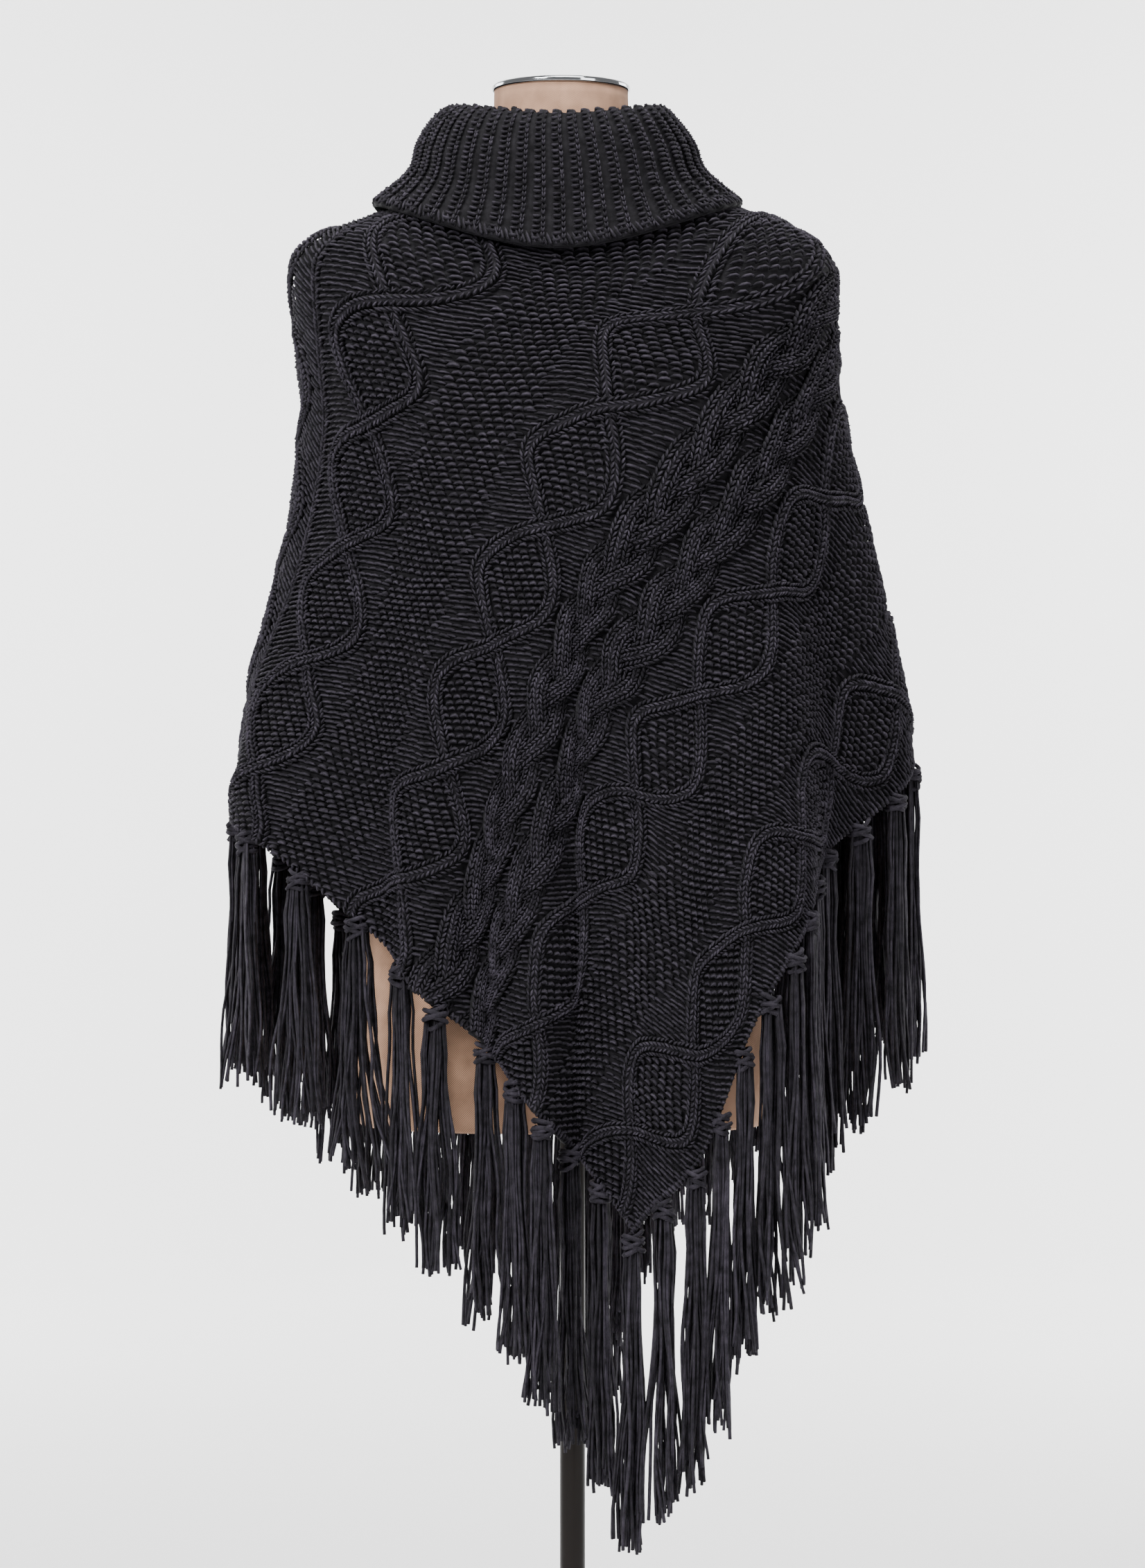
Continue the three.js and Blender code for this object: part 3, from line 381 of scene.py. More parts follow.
def yarn_faces(count, rings, sides):
    """Triangles of closed yarns, each a start point, rings of vertices and an end point."""
    tris = []
    end = 1 + rings * sides
    for k in range(sides):
        nxt = (k + 1) % sides
        tris.append((0, 1 + nxt, 1 + k))
        for j in range(rings - 1):
            q0, q1 = 1 + j * sides, 1 + (j + 1) * sides
            tris.append((q0 + k, q0 + nxt, q1 + nxt))
            tris.append((q0 + k, q1 + nxt, q1 + k))
        tris.append((end - sides + k, end - sides + nxt, end))
    starts = np.arange(count) * (end + 1)
    return (np.asarray(tris)[None] + starts[:, None, None]).reshape(-1, 3)


def yarn_uv(count, stations, sides, length):
    """UV places round and along each yarn, moved by a random amount for each."""
    around = np.concatenate([[0.5], np.tile(np.arange(sides) / sides, len(stations)), [0.5]])
    along = np.concatenate([[0], np.repeat(stations, sides), [1]]) * length
    pair = [np.tile(x, (count, 1)) + rng.random((count, 1)) * 7 for x in (around, along)]
    return np.stack(pair, -1).reshape(-1, 2)


def bead_arrays(surface, a, b, lift, wide, high, tone=None):
    """Closed yarn beads on a surface: each row of a and b is a short run of stations, the first and
    last drawn to a point. A section is half an ellipse that stands on the surface's normal, in
    three vertices. Tone is the share of full brightness at each station; the painted shade kept for
    each vertex is that tone on each section's crown, none on its sides and 0.2 of it at the ends."""
    n, m = a.shape
    sides = 3
    tone = np.ones((n, m)) if tone is None else tone
    p, normal = surface(a, b)
    p = p + normal * lift[..., None]
    run = np.gradient(p, axis=1)
    side = unit(np.cross(unit(run), normal))
    up = unit(np.cross(side, unit(run)))
    ang = np.radians(90 + 180.0 * (np.arange(sides) / (sides - 1) - 0.5))
    inner = slice(1, m - 1)
    ring = (p[:, inner, None] + side[:, inner, None] * (np.cos(ang) * wide[:, inner, None])[..., None]
            + up[:, inner, None] * (np.sin(ang) * high[:, inner, None])[..., None])
    drop = up[:, inner] * (high[:, inner] * 0.35)[..., None]
    ring[:, :, 0] -= drop
    ring[:, :, -1] -= drop
    verts = np.concatenate([p[:, :1], ring.reshape(n, -1, 3), p[:, -1:]], 1)
    # painted shade: the crown of each section lit, its sides and pointed ends dark
    crown = np.clip(np.sin(ang), 0, 1) * tone[:, inner, None]
    shade = np.concatenate([0.2 * tone[:, :1], crown.reshape(n, -1), 0.2 * tone[:, -1:]], 1)
    uv = yarn_uv(n, np.arange(1, m - 1) / (m - 1), sides, 1)
    return verts.reshape(-1, 3), yarn_faces(n, m - 2, sides), shade.ravel(), uv


def strand_arrays(path, radius, sides, tone):
    """Round closed yarns along paths given as (yarn, station, xyz), drawn in at both ends."""
    n, m = path.shape[:2]
    run = unit(np.gradient(path, axis=1))
    ref = np.where(np.abs(run[..., 2:3]) > 0.9, np.array([1.0, 0, 0]), np.array([0, 0, 1.0]))
    side = unit(np.cross(run, ref))
    up = np.cross(side, run)
    ang = 2 * np.pi * np.arange(sides) / sides
    across = side[:, :, None] * np.cos(ang)[:, None] + up[:, :, None] * np.sin(ang)[:, None]
    ring = path[:, :, None] + radius[..., None, None] * across
    verts = np.concatenate([path[:, :1], ring.reshape(n, -1, 3), path[:, -1:]], 1)
    shade = np.concatenate([tone[:, :1], np.repeat(tone, sides, axis=1), tone[:, -1:]], 1).ravel()
    uv = yarn_uv(n, np.linspace(0, 1, m), sides, 12)
    return verts.reshape(-1, 3), yarn_faces(n, m, sides)[:, [0, 2, 1]], shade, uv


def join_arrays(parts):
    """Vertices, faces, shades and UV places of several parts as one set."""
    base, shifted = 0, []
    for verts, faces, _, _ in parts:
        shifted.append(faces + base)
        base += len(verts)
    verts, _, shade, uv = (np.concatenate(x) for x in zip(*parts))
    return verts, np.concatenate(shifted), shade, uv


def yarn_piece(name, parts, material):
    """One piece of many yarns or stitches."""
    verts, faces, shade, uv = join_arrays(parts)
    obj = add_mesh(name, verts, faces, shade, uv)
    obj.data.materials.append(material)
    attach(obj, "root")
    return obj


# materials
def node(tree, kind, place=(0, 0), **values):
    """A node with some of its settings, or of its inputs by name with _ for a space."""
    made = tree.nodes.new(kind)
    made.location = place
    for key, value in values.items():
        if hasattr(made, key):
            setattr(made, key, value)
        else:
            made.inputs[key.replace("_", " ")].default_value = value
    return made


def new_material(name):
    """A material, its node tree and its shader."""
    mat = bpy.data.materials.new(name)
    mat.use_nodes = True
    return mat, mat.node_tree, mat.node_tree.nodes["Principled BSDF"]


def color_mix(tree, place, first, second, share, target):
    """Two colours mixed by an output, into an input."""
    mix = node(tree, "ShaderNodeMix", place, data_type="RGBA")
    mix.inputs[6].default_value = first
    mix.inputs[7].default_value = second
    tree.links.new(share, mix.inputs[0])
    tree.links.new(mix.outputs[2], target)


def fibre_group():
    """Yarn fibre: streaks along each bead from its own UV map, mixed with soft patches in the cloth,
    times the painted shade of the 'lift' attribute: dark where the bead meets its neighbours and a
    little brighter on its crown."""
    tree = bpy.data.node_groups.new("yarn_fibre", "ShaderNodeTree")
    link = tree.links.new
    for name, value in (("Dark", (0.01, 0.01, 0.011, 1)), ("Light", (0.05, 0.05, 0.055, 1))):
        socket = tree.interface.new_socket(name, in_out="INPUT", socket_type="NodeSocketColor")
        socket.default_value = value
    for name, kind in (("Color", "Color"), ("Height", "Float"), ("Roughness", "Float")):
        tree.interface.new_socket(name, in_out="OUTPUT", socket_type="NodeSocket" + kind)
    start = node(tree, "NodeGroupInput", (-900, 0))
    end = node(tree, "NodeGroupOutput", (700, 0))
    uv = node(tree, "ShaderNodeUVMap", (-900, 300), uv_map="yarn")
    spin = node(tree, "ShaderNodeMapping", (-720, 300), Rotation=(0, 0, 0.5), Scale=(9, 1.6, 1))
    streak = node(tree, "ShaderNodeTexNoise", (-540, 300), noise_dimensions="2D", Scale=2.2, Detail=4)
    coord = node(tree, "ShaderNodeTexCoord", (-900, -200))
    patch = node(tree, "ShaderNodeTexNoise", (-540, -50), Scale=140, Detail=3)
    fuzz = node(tree, "ShaderNodeTexNoise", (-540, -300), Scale=900, Detail=3)
    lift = node(tree, "ShaderNodeAttribute", (-540, 520), attribute_name="lift")
    blend = node(tree, "ShaderNodeMix", (-340, 100), data_type="FLOAT")
    blend.inputs[0].default_value = 0.45
    add = node(tree, "ShaderNodeMath", (-180, 60), operation="ADD")
    ramp = node(tree, "ShaderNodeMapRange", (0, 60), From_Min=0.72, From_Max=1.32)
    # painted shade and light: the 'lift' attribute scales the yarn colour from 0.16 to 1.15 times
    deep = node(tree, "ShaderNodeMapRange", (0, 300), To_Min=0.16, To_Max=1.15)
    tint = node(tree, "ShaderNodeMix", (180, 60), data_type="RGBA")
    shade = node(tree, "ShaderNodeVectorMath", (380, 60), operation="SCALE")
    rough = node(tree, "ShaderNodeMapRange", (380, -200), To_Min=0.95, To_Max=0.72)
    link(uv.outputs[0], spin.inputs["Vector"])
    link(spin.outputs[0], streak.inputs["Vector"])
    link(coord.outputs["Object"], patch.inputs["Vector"])
    link(coord.outputs["Object"], fuzz.inputs["Vector"])
    link(streak.outputs["Fac"], blend.inputs[2])
    link(fuzz.outputs["Fac"], blend.inputs[3])
    link(blend.outputs[0], add.inputs[0])
    link(patch.outputs["Fac"], add.inputs[1])
    link(add.outputs[0], ramp.inputs["Value"])
    link(lift.outputs["Fac"], deep.inputs["Value"])
    link(ramp.outputs[0], tint.inputs[0])
    link(start.outputs["Dark"], tint.inputs[6])
    link(start.outputs["Light"], tint.inputs[7])
    link(tint.outputs[2], shade.inputs[0])
    link(deep.outputs[0], shade.inputs["Scale"])
    link(ramp.outputs[0], rough.inputs["Value"])
    link(shade.outputs[0], end.inputs["Color"])
    link(blend.outputs[0], end.inputs["Height"])
    link(rough.outputs[0], end.inputs["Roughness"])
    return tree


FIBRE = fibre_group()


def yarn_material(name, dark, light, bump=0.5):
    """Matt yarn between two colours."""
    mat, tree, bsdf = new_material(name)
    bsdf.inputs["Sheen Weight"].default_value = 0.03
    bsdf.inputs["Sheen Roughness"].default_value = 0.5
    bsdf.inputs["Sheen Tint"].default_value = (0.55, 0.53, 0.6, 1)
    bsdf.inputs["Specular IOR Level"].default_value = 0.15
    group = node(tree, "ShaderNodeGroup", (-400, 0), node_tree=FIBRE, Dark=dark, Light=light)
    relief = node(tree, "ShaderNodeBump", (-180, -200), Strength=bump, Distance=0.0006)
    tree.links.new(group.outputs["Color"], bsdf.inputs["Base Color"])
    tree.links.new(group.outputs["Roughness"], bsdf.inputs["Roughness"])
    tree.links.new(group.outputs["Height"], relief.inputs["Height"])
    tree.links.new(relief.outputs[0], bsdf.inputs["Normal"])
    return mat


YARN = yarn_material("charcoal_yarn", (0.0039, 0.0034, 0.0049, 1), (0.0455, 0.0392, 0.0535, 1))
# painted shade: the backing wall and the cable cores, seen only between and under the stitches, in a
# darker yarn colour
SHADED_BACKING = yarn_material("charcoal_backing_painted_shade", (0.0022, 0.0019, 0.0027, 1),
                        (0.0110, 0.0094, 0.0130, 1), 0.3)
THREAD_PITCH = 1.7


def linen_material():
    """Plain weave: two sets of threads from sine waves in the form's own UV map, in mm. The colour is
    darker in the hollows between the threads as painted shade, and in slub patches from noise.
    """
    mat, tree, bsdf = new_material("peach_linen")
    link = tree.links.new
    bsdf.inputs["Roughness"].default_value = 0.85
    bsdf.inputs["Specular IOR Level"].default_value = 0.3
    uv = node(tree, "ShaderNodeUVMap", (-1100, 0), uv_map="yarn")
    split = node(tree, "ShaderNodeSeparateXYZ", (-920, 0))
    link(uv.outputs[0], split.inputs[0])
    weave = node(tree, "ShaderNodeMath", (-380, 60), operation="MULTIPLY")
    for k, axis in enumerate(("X", "Y")):
        scale = node(tree, "ShaderNodeMath", (-740, 160 - 200 * k), operation="MULTIPLY")
        scale.inputs[1].default_value = 2 * math.pi / THREAD_PITCH
        wave = node(tree, "ShaderNodeMath", (-560, 160 - 200 * k), operation="SINE")
        link(split.outputs[axis], scale.inputs[0])
        link(scale.outputs[0], wave.inputs[0])
        link(wave.outputs[0], weave.inputs[k])
    coord = node(tree, "ShaderNodeTexCoord", (-920, -400))
    slub = node(tree, "ShaderNodeTexNoise", (-560, -400), Scale=60, Detail=5)
    link(coord.outputs["Object"], slub.inputs["Vector"])
    height = node(tree, "ShaderNodeMapRange", (-200, 60), From_Min=-1)
    link(weave.outputs[0], height.inputs["Value"])
    uneven = node(tree, "ShaderNodeMath", (-40, -120), operation="MULTIPLY")
    link(height.outputs[0], uneven.inputs[0])
    link(slub.outputs["Fac"], uneven.inputs[1])
    tone = node(tree, "ShaderNodeMapRange", (120, -120), From_Max=0.75)
    link(uneven.outputs[0], tone.inputs["Value"])
    # painted shade in the weave's hollows, mixed with slub patches from noise, sets the colour
    color_mix(tree, (300, 0), (0.20, 0.115, 0.072, 1), (0.70, 0.42, 0.28, 1), tone.outputs[0],
              bsdf.inputs["Base Color"])
    relief = node(tree, "ShaderNodeBump", (300, -300), Strength=0.35, Distance=0.0004)
    link(height.outputs[0], relief.inputs["Height"])
    link(relief.outputs[0], bsdf.inputs["Normal"])
    return mat


def metal_material(name, color, metallic, low, high, gloss=0.5):
    """Painted or plated metal: faint smears in the roughness and the colour from noise."""
    mat, tree, bsdf = new_material(name)
    bsdf.inputs["Metallic"].default_value = metallic
    bsdf.inputs["Specular IOR Level"].default_value = gloss
    coord = node(tree, "ShaderNodeTexCoord", (-900, 0))
    smear = node(tree, "ShaderNodeTexNoise", (-540, 0), Scale=18, Detail=6)
    tree.links.new(coord.outputs["Object"], smear.inputs["Vector"])
    rough = node(tree, "ShaderNodeMapRange", (-300, 0), To_Min=low, To_Max=high)
    tree.links.new(smear.outputs["Fac"], rough.inputs["Value"])
    tree.links.new(rough.outputs[0], bsdf.inputs["Roughness"])
    color_mix(tree, (-300, 260), tuple(0.8 * c for c in color) + (1,), color + (1,),
              smear.outputs["Fac"], bsdf.inputs["Base Color"])
    return mat


LINEN = linen_material()
CHROME = metal_material("neck_chrome", (0.48, 0.49, 0.51), 1.0, 0.05, 0.14)
ENAMEL = metal_material("dark_enamel", (0.007, 0.005, 0.004), 0.0, 0.25, 0.4, 0.16)


# the body cloth: backing wall under the stitches
def backing_wall():
    """Closed wall on the flat grid: outer face just under the stitches, inner face a wall's depth in,
    joined along the hem and round the neck edge; the sewn edge is one line."""
    inset = 2.0
    turns = np.radians(np.linspace(0, 180, 181))
    t = np.linspace(0, 1, 70)[:, None] ** 0.9
    rho = (NECK_R + inset) + (hem_reach(turns) - NECK_R - inset - 1.0) * t
    p, normal = cloth(rho * np.sin(turns), HALF_H - rho * np.cos(turns))
    ends = unit(normal[:, 0] + normal[:, -1])
    normal[:, 0] = ends
    normal[:, -1] = ends
    return closed_band("poncho_cloth", (p - normal * 0.9)[:, :-1], (p - normal * WALL)[:, :-1])


cloth_piece = backing_wall()
cloth_piece.data.materials.append(SHADED_BACKING)
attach(cloth_piece, "root")
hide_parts("poncho_body")


# stitch patterns on the flat cloth
def diamond_reach(v, crossing):
    """Half width of a diamond: part triangle with rounded corners, part half sine wave."""
    phase = (v - crossing) / DIAMOND_PITCH
    x = 2 * (phase - np.floor(phase)) - 1
    wide = math.hypot(1, CORNER_ROUND)
    pointed = (wide - np.hypot(x, CORNER_ROUND)) / (wide - CORNER_ROUND)
    return DIAMOND_REACH * (0.55 * pointed + 0.45 * np.cos(x * np.pi / 2))


def braid_line(v, centre, turn, phase):
    """Line of one strand of a braid."""
    return centre + turn * BRAID_REACH * np.sin(2 * np.pi * (v - FIRST_CROSSING) / BRAID_PERIOD + phase)


def stitch_grid(wale, course):
    """Flat places of a staggered grid of stitches, its rows drawn askew by the way the cloth hangs,
    clear of the neck, the strands and the seam."""
    us = np.arange(4.6, CLOTH_W - 1, wale)
    vs = np.arange(-ROW_SKEW * CLOTH_W, HALF_H, course * math.hypot(1, ROW_SKEW))
    u, v = np.meshgrid(us, vs)
    u = u + (np.arange(len(vs)) % 2)[:, None] * wale * 0.5
    v = v + ROW_SKEW * u
    front = v < HALF_H
    u = np.concatenate([u[front], u[front]])
    v = np.concatenate([v[front], 2 * HALF_H - v[front]])
    neck_room, braid_room, inner_room, outer_room = 30, 9.0, 7.2, 7.4
    keep = (u < CLOTH_W - 2) & (np.hypot(u, HALF_H - v) > NECK_R + neck_room)
    keep &= (v > 2.0) & (v < 2 * HALF_H - 2.0)
    moss = np.zeros_like(keep)
    for c, crossing in DIAMONDS:
        reach = diamond_reach(v, crossing)
        away = np.abs(u - c)
        keep &= ~((away > reach - inner_room) & (away < reach + outer_room))
        moss |= away < reach - inner_room
    for c, turn in BRAIDS:
        for k in range(3):
            keep &= np.abs(u - braid_line(v, c, turn, 2 * np.pi * k / 3)) > braid_room
    for c in MOSS_BANDS:
        moss |= np.abs(u - c) < MOSS_HALF
    return u[keep], v[keep], moss[keep]


def ground_stitches():
    """Purl rows as low overlapping crescents, and higher arched bumps in the moss bands and inside
    the diamonds."""
    parts = []
    t = np.linspace(-1, 1, 5)
    bow = 1 - t ** 2
    for high_rows, wale, course in ((False, PURL_WALE, PURL_COURSE), (True, MOSS_WALE, MOSS_COURSE)):
        half_length, half_width, height = (3.3, 1.6, 1.7) if high_rows else (4.7, 1.25, 1.3)
        # painted shade: the lower purl ground at 0.8, the raised moss at 0.9 of full brightness
        arch, crown, painted_brightness = (2.3, 1.9, 0.9) if high_rows else (1.0, 0.6, 0.8)
        u, v, moss = stitch_grid(wale, course)
        u, v = u[moss == high_rows], v[moss == high_rows]
        u = u + rng.normal(0, 0.35, u.shape)
        v = v + rng.normal(0, 0.28, u.shape)
        one = (len(u), 1)
        size = (1 + rng.normal(0, 0.09, one)) * np.ones((1, 5))
        tone = painted_brightness * (1 + rng.normal(0, 0.14, one)) * np.ones((1, 5))
        a = u[:, None] + half_length * t * size
        slope = ROW_SKEW * np.sign(HALF_H - v)[:, None] + rng.normal(0, 0.05, one)
        b = v[:, None] + slope * (a - u[:, None]) + arch * (bow - 0.5)
        lift = 0.5 + crown * bow + rng.normal(0, 0.18, one)
        parts.append((a, b, lift, half_width * size, height * size, tone))
    return [np.concatenate(x) for x in zip(*parts)]


ground = ground_stitches()
ground_near = ground[1][:, 2] < HALF_H
for label, part in (("front", ground_near), ("back", ~ground_near)):
    beads = bead_arrays(knitted, *[x[part] for x in ground])
    yarn_piece(f"ground_stitches_{label}", [beads], YARN)


def strand_legs(u_of, v_from, v_to, wales, pitch, lift_of, depth_of):
    """V stitches that climb a strand: two leaning legs for each wale in each row, set off sideways
    from the strand's line u_of(v), rounded down towards the strand's edges, with painted shade there
    and where depth_of(v) says that it passes under another."""
    v = np.arange(v_from, v_to, 1.0)
    u = u_of(v)
    arc = np.cumsum(np.hypot(np.gradient(u), 1.0))
    rows = np.arange(arc[0], arc[-1], LEG_COURSE)
    one = (len(rows), 1)
    out = []
    t = np.linspace(0, 1, 4)
    for w in range(wales):
        offset = (w - (wales - 1) / 2) * pitch
        for lean in (-1, 1):
            s = np.clip(rows[:, None] + rng.normal(0, 0.25, one) + t * LEG_LENGTH, arc[0], arc[-1])
            cu, cv = np.interp(s, arc, u), np.interp(s, arc, v)
            du = np.interp(s + 1, arc, u) - np.interp(s - 1, arc, u)
            dv = np.interp(s + 1, arc, v) - np.interp(s - 1, arc, v)
            n = np.hypot(du, dv) + 1e-6
            x = offset + lean * pitch * (0.03 + 0.44 * t) + rng.normal(0, 0.24, one)
            edge = np.clip(np.abs(x) / (wales * pitch / 2), 0, 1) ** 2
            lift = lift_of(cv) - 2.2 * edge + 1.2 * np.sin(np.pi * t) - 0.6
            lift = lift + rng.normal(0, 0.2, one)
            size = (1 + rng.normal(0, 0.08, one)) * np.ones((1, 4))
            # painted light and shade with random tone: brighter mid-strand, darker at its edges and where
            # it passes under
            tone = (1.15 - 0.65 * edge) * (1 - 0.65 * depth_of(cv)) * (1 + rng.normal(0, 0.2, one))
            out.append((cu + x * dv / n, cv - x * du / n, lift, 1.2 * size, 1.8 * size, tone))
    return [np.concatenate(x) for x in zip(*out)]


def clear_of_neck(arrays):
    """The stitches that lie inside the cloth and not under the collar."""
    a, b = arrays[0], arrays[1]
    away = np.hypot(a, HALF_H - b).min(axis=1) > NECK_R + 28
    inside = (a.max(axis=1) < CLOTH_W + 1) & (b.min(axis=1) > -1) & (b.max(axis=1) < 2 * HALF_H + 1)
    return [x[away & inside] for x in arrays]


cable_parts = {"front": [], "back": []}
core_parts = {"front": [], "back": []}


def add_strand(u_of, wales, pitch, lift_of, depth_of, half, v_to=2 * HALF_H):
    """Stitches of a strand, and under them its core in short closed lengths."""
    legs = strand_legs(u_of, 0.5, v_to - 0.5, wales, pitch, lift_of, depth_of)
    v = np.arange(6, v_to - 8, 7.0)
    b = v[:, None] + 6.5 * np.linspace(-1, 1, 5)
    core = [u_of(b), b, lift_of(b) - 2.2, half * np.ones_like(b), 2.6 * np.ones_like(b)]
    for parts, arrays in ((cable_parts, legs), (core_parts, core)):
        arrays = clear_of_neck(arrays)
        near = arrays[1][:, 2] < HALF_H
        for label, part in (("front", near), ("back", ~near)):
            if part.any():
                parts[label].append(bead_arrays(knitted, *[x[part] for x in arrays]))


def crossing_side(v, crossing):
    """+1 at even crossings, -1 at odd ones, falling to 0 between them."""
    k = (v - crossing) / DIAMOND_PITCH
    near = np.exp(-((k - np.round(k)) * DIAMOND_PITCH / 15.0) ** 2)
    return near * np.where(np.round(k) % 2 == 0, 1.0, -1.0)


for c, crossing in DIAMONDS:
    for side in (-1, 1):
        def line(v, c=c, crossing=crossing, side=side):
            turn = np.where(np.floor((v - crossing) / DIAMOND_PITCH) % 2 == 0, side, -side)
            return c + turn * diamond_reach(v, crossing)

        def rise(v, crossing=crossing, side=side):
            return 3.1 + 1.3 * side * crossing_side(v, crossing)

        # painted shade where this strand passes under the other
        def depth(v, crossing=crossing, side=side):
            return 0.5 * np.clip(-side * crossing_side(v, crossing), 0, 1)
        add_strand(line, 2, DIAMOND_WALE, rise, depth, 5.8)

for c, turn in BRAIDS:
    for k in range(3):
        phase = 2 * np.pi * k / 3

        def line(v, c=c, turn=turn, phase=phase):
            return braid_line(v, c, turn, phase)

        def wave(v, phase=phase):
            return np.sin(2 * (2 * np.pi * (v - FIRST_CROSSING) / BRAID_PERIOD + phase))

        def rise(v, wave=wave):
            return (3.5 + 2.5 * wave(v)) * (0.4 + 0.6 * smooth(np.abs(v - HALF_H) / 150))

        # painted shade where this strand passes under the others
        def depth(v, wave=wave):
            return 1.15 * np.clip(-wave(v), 0, 1)
        add_strand(line, 3, BRAID_WALE, rise, depth, 7.0)


def constant(value):
    """A function of v that is the same everywhere."""
    return lambda v: value + 0.0 * v


# chain over the sewn edge, with a constant painted shade from its depth of 0.4
add_strand(constant(0.0), 1, CHAIN_WALE, constant(1.2), constant(0.4), 3.8, HALF_H - 60)

cable_pieces = [yarn_piece(f"cable_stitches_{k}", cable_parts[k], YARN) for k in cable_parts]
# the cores use the darker backing colour as painted shade under the strands
core_pieces = [yarn_piece(f"cable_cores_{k}", core_parts[k], SHADED_BACKING) for k in core_parts]


def hem_stitches():
    """Bound edge: short slanted loops over the cloth's edge, all round the hem."""
    s = np.arange(3, HEM - 3, 4.3)
    t = np.linspace(0, 1, 5)
    along = s[:, None] + 2.4 * t
    inward = 5.2 - 5.8 * t
    front, side = along < CLOTH_W, along < CLOTH_W + 2 * HALF_H
    u = np.where(front, along, np.where(side, CLOTH_W - inward, HEM - along))
    v = np.where(front, inward, np.where(side, along - CLOTH_W, 2 * HALF_H - inward))
    u = np.clip(u, 1, CLOTH_W + 0.8)
    v = np.clip(v, -0.8, 2 * HALF_H + 0.8)
    lift = np.tile(1.2 - 2.6 * t ** 2, (len(s), 1))
    return u, v, lift, np.full_like(u, 1.7), np.full_like(u, 1.6)


hem_piece = yarn_piece("hem_binding", [bead_arrays(cloth, *hem_stitches())], YARN)


# the collar: wall and stitches
def collar_wall():
    """Closed band: the ribbed showing face and a plain hidden face under it, round the neck."""
    count = RIBS * 4
    grid_a, grid_s = np.meshgrid(np.arange(count) * 360.0 / count, np.linspace(0, 6.98, 30))
    p, normal = collar(grid_a, grid_s)
    groove = np.cos(2 * np.pi * (grid_a * RIBS / 360.0 - 0.15))
    outer = p + normal * (-0.4 + 1.7 * groove + 1.3 * np.exp(-(grid_s - TURN_S) ** 2))[..., None]
    return closed_band("collar_cloth", outer, p - normal * WALL)


collar_piece = collar_wall()
collar_piece.data.materials.append(SHADED_BACKING)
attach(collar_piece, "root")
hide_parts("collar")


def collar_stitches():
    """Each rib is a column of broad bumps, with a fine column of V legs down its right side."""
    pitch = 360.0 / RIBS
    places = np.linspace(0.2, 6.95, 200)
    line = collar_place(0.0, places)
    arc = np.concatenate([[0], np.cumsum(np.linalg.norm(np.diff(line, axis=0), axis=1))])
    rows = np.arange(2, arc[-1] - 2, COLLAR_COURSE)
    grid_a, grid_r = np.meshgrid(np.arange(RIBS) * pitch, rows)
    a0, r0 = grid_a.ravel(), grid_r.ravel()
    r0 = r0 + rng.normal(0, 0.4, r0.shape)
    one = (len(a0), 1)
    size = (1 + rng.normal(0, 0.06, one)) * np.ones((1, 5))
    # painted shade: collar stitches at 0.6 of full brightness, with random tone
    tone = 0.6 * (1 + rng.normal(0, 0.22, one)) * np.ones((1, 5))

    t = np.linspace(-1, 1, 5)
    a = a0[:, None] + 0.23 * pitch * t * size
    b = np.interp(r0[:, None] + 1.2 * (1 - t ** 2), arc, places)
    lift = 0.9 + 1.5 * (1 - t ** 2) - np.exp(-((b - TURN_S) / 0.7) ** 2) + rng.normal(0, 0.2, one)
    parts = [bead_arrays(collar, a, b, lift, 1.7 * size, 1.7 * size, tone)]

    u = np.linspace(0, 1, 4)
    for lean in (-1, 1):
        a = a0[:, None] + pitch * (0.33 + lean * (0.01 + 0.075 * u)) + rng.normal(0, 0.06, one)
        b = np.interp(r0[:, None] + 6.2 * (1 - u), arc, places)
        lift = 1.1 - 0.9 * np.exp(-((b - TURN_S) / 0.9) ** 2) + 0.8 * np.sin(np.pi * u)
        # painted light: the V legs at 1.2 times the bumps' tone
        parts.append(bead_arrays(collar, a, b, lift, 0.95 * size[:, :4], 1.3 * size[:, :4],
                                 1.2 * tone[:, :4]))

    # bound rim
    u = np.linspace(0, 1, 5)
    a = np.arange(0, 360, 360 / RIM_STITCHES)[:, None] + 2.3 * u
    b = 6.62 + 0.36 * u + 0 * a
    lift = 1.0 - 1.6 * u ** 2 + 0.5 * np.cos(np.radians(a) * RIBS)
    # painted shade: rim stitches at 0.6 of full brightness
    parts.append(bead_arrays(collar, a, b, lift, np.full_like(a, 1.45), np.full_like(a, 1.3),
                             np.full_like(a, 0.6)))
    return parts


collar_stitch_piece = yarn_piece("collar_stitches", collar_stitches(), YARN)


# tassels along the hem
SHORT_TASSELS, LONG_TASSELS = 12, 28
YARNS, LOCKS, KNOT_LOOPS = 30, 6, 5
YARN_RADIUS = 1.42
# place along the hem against length
TASSEL_REACH = np.array([
    (0, 180), (300, 196), (545, 232), (900, 226), (1210, 222), (1875, 228), (2420, 182),
], float)


def hem_place(s):
    """Flat place at a length s along the hem, from the front end of the sewn edge round to its back."""
    s = np.clip(s, 0, HEM)
    u = np.where(s <= CLOTH_W, s, np.where(s <= CLOTH_W + 2 * HALF_H, CLOTH_W, HEM - s))
    v = np.where(s <= CLOTH_W, 0, np.where(s <= CLOTH_W + 2 * HALF_H, s - CLOTH_W, 2 * HALF_H))
    return u, v


def hem_point(s):
    """Middle of the cloth's thickness at the hem, and its normal."""
    u, v = hem_place(np.asarray(s, float))
    p, normal = cloth(u, v)
    return p - normal * WALL / 2, normal


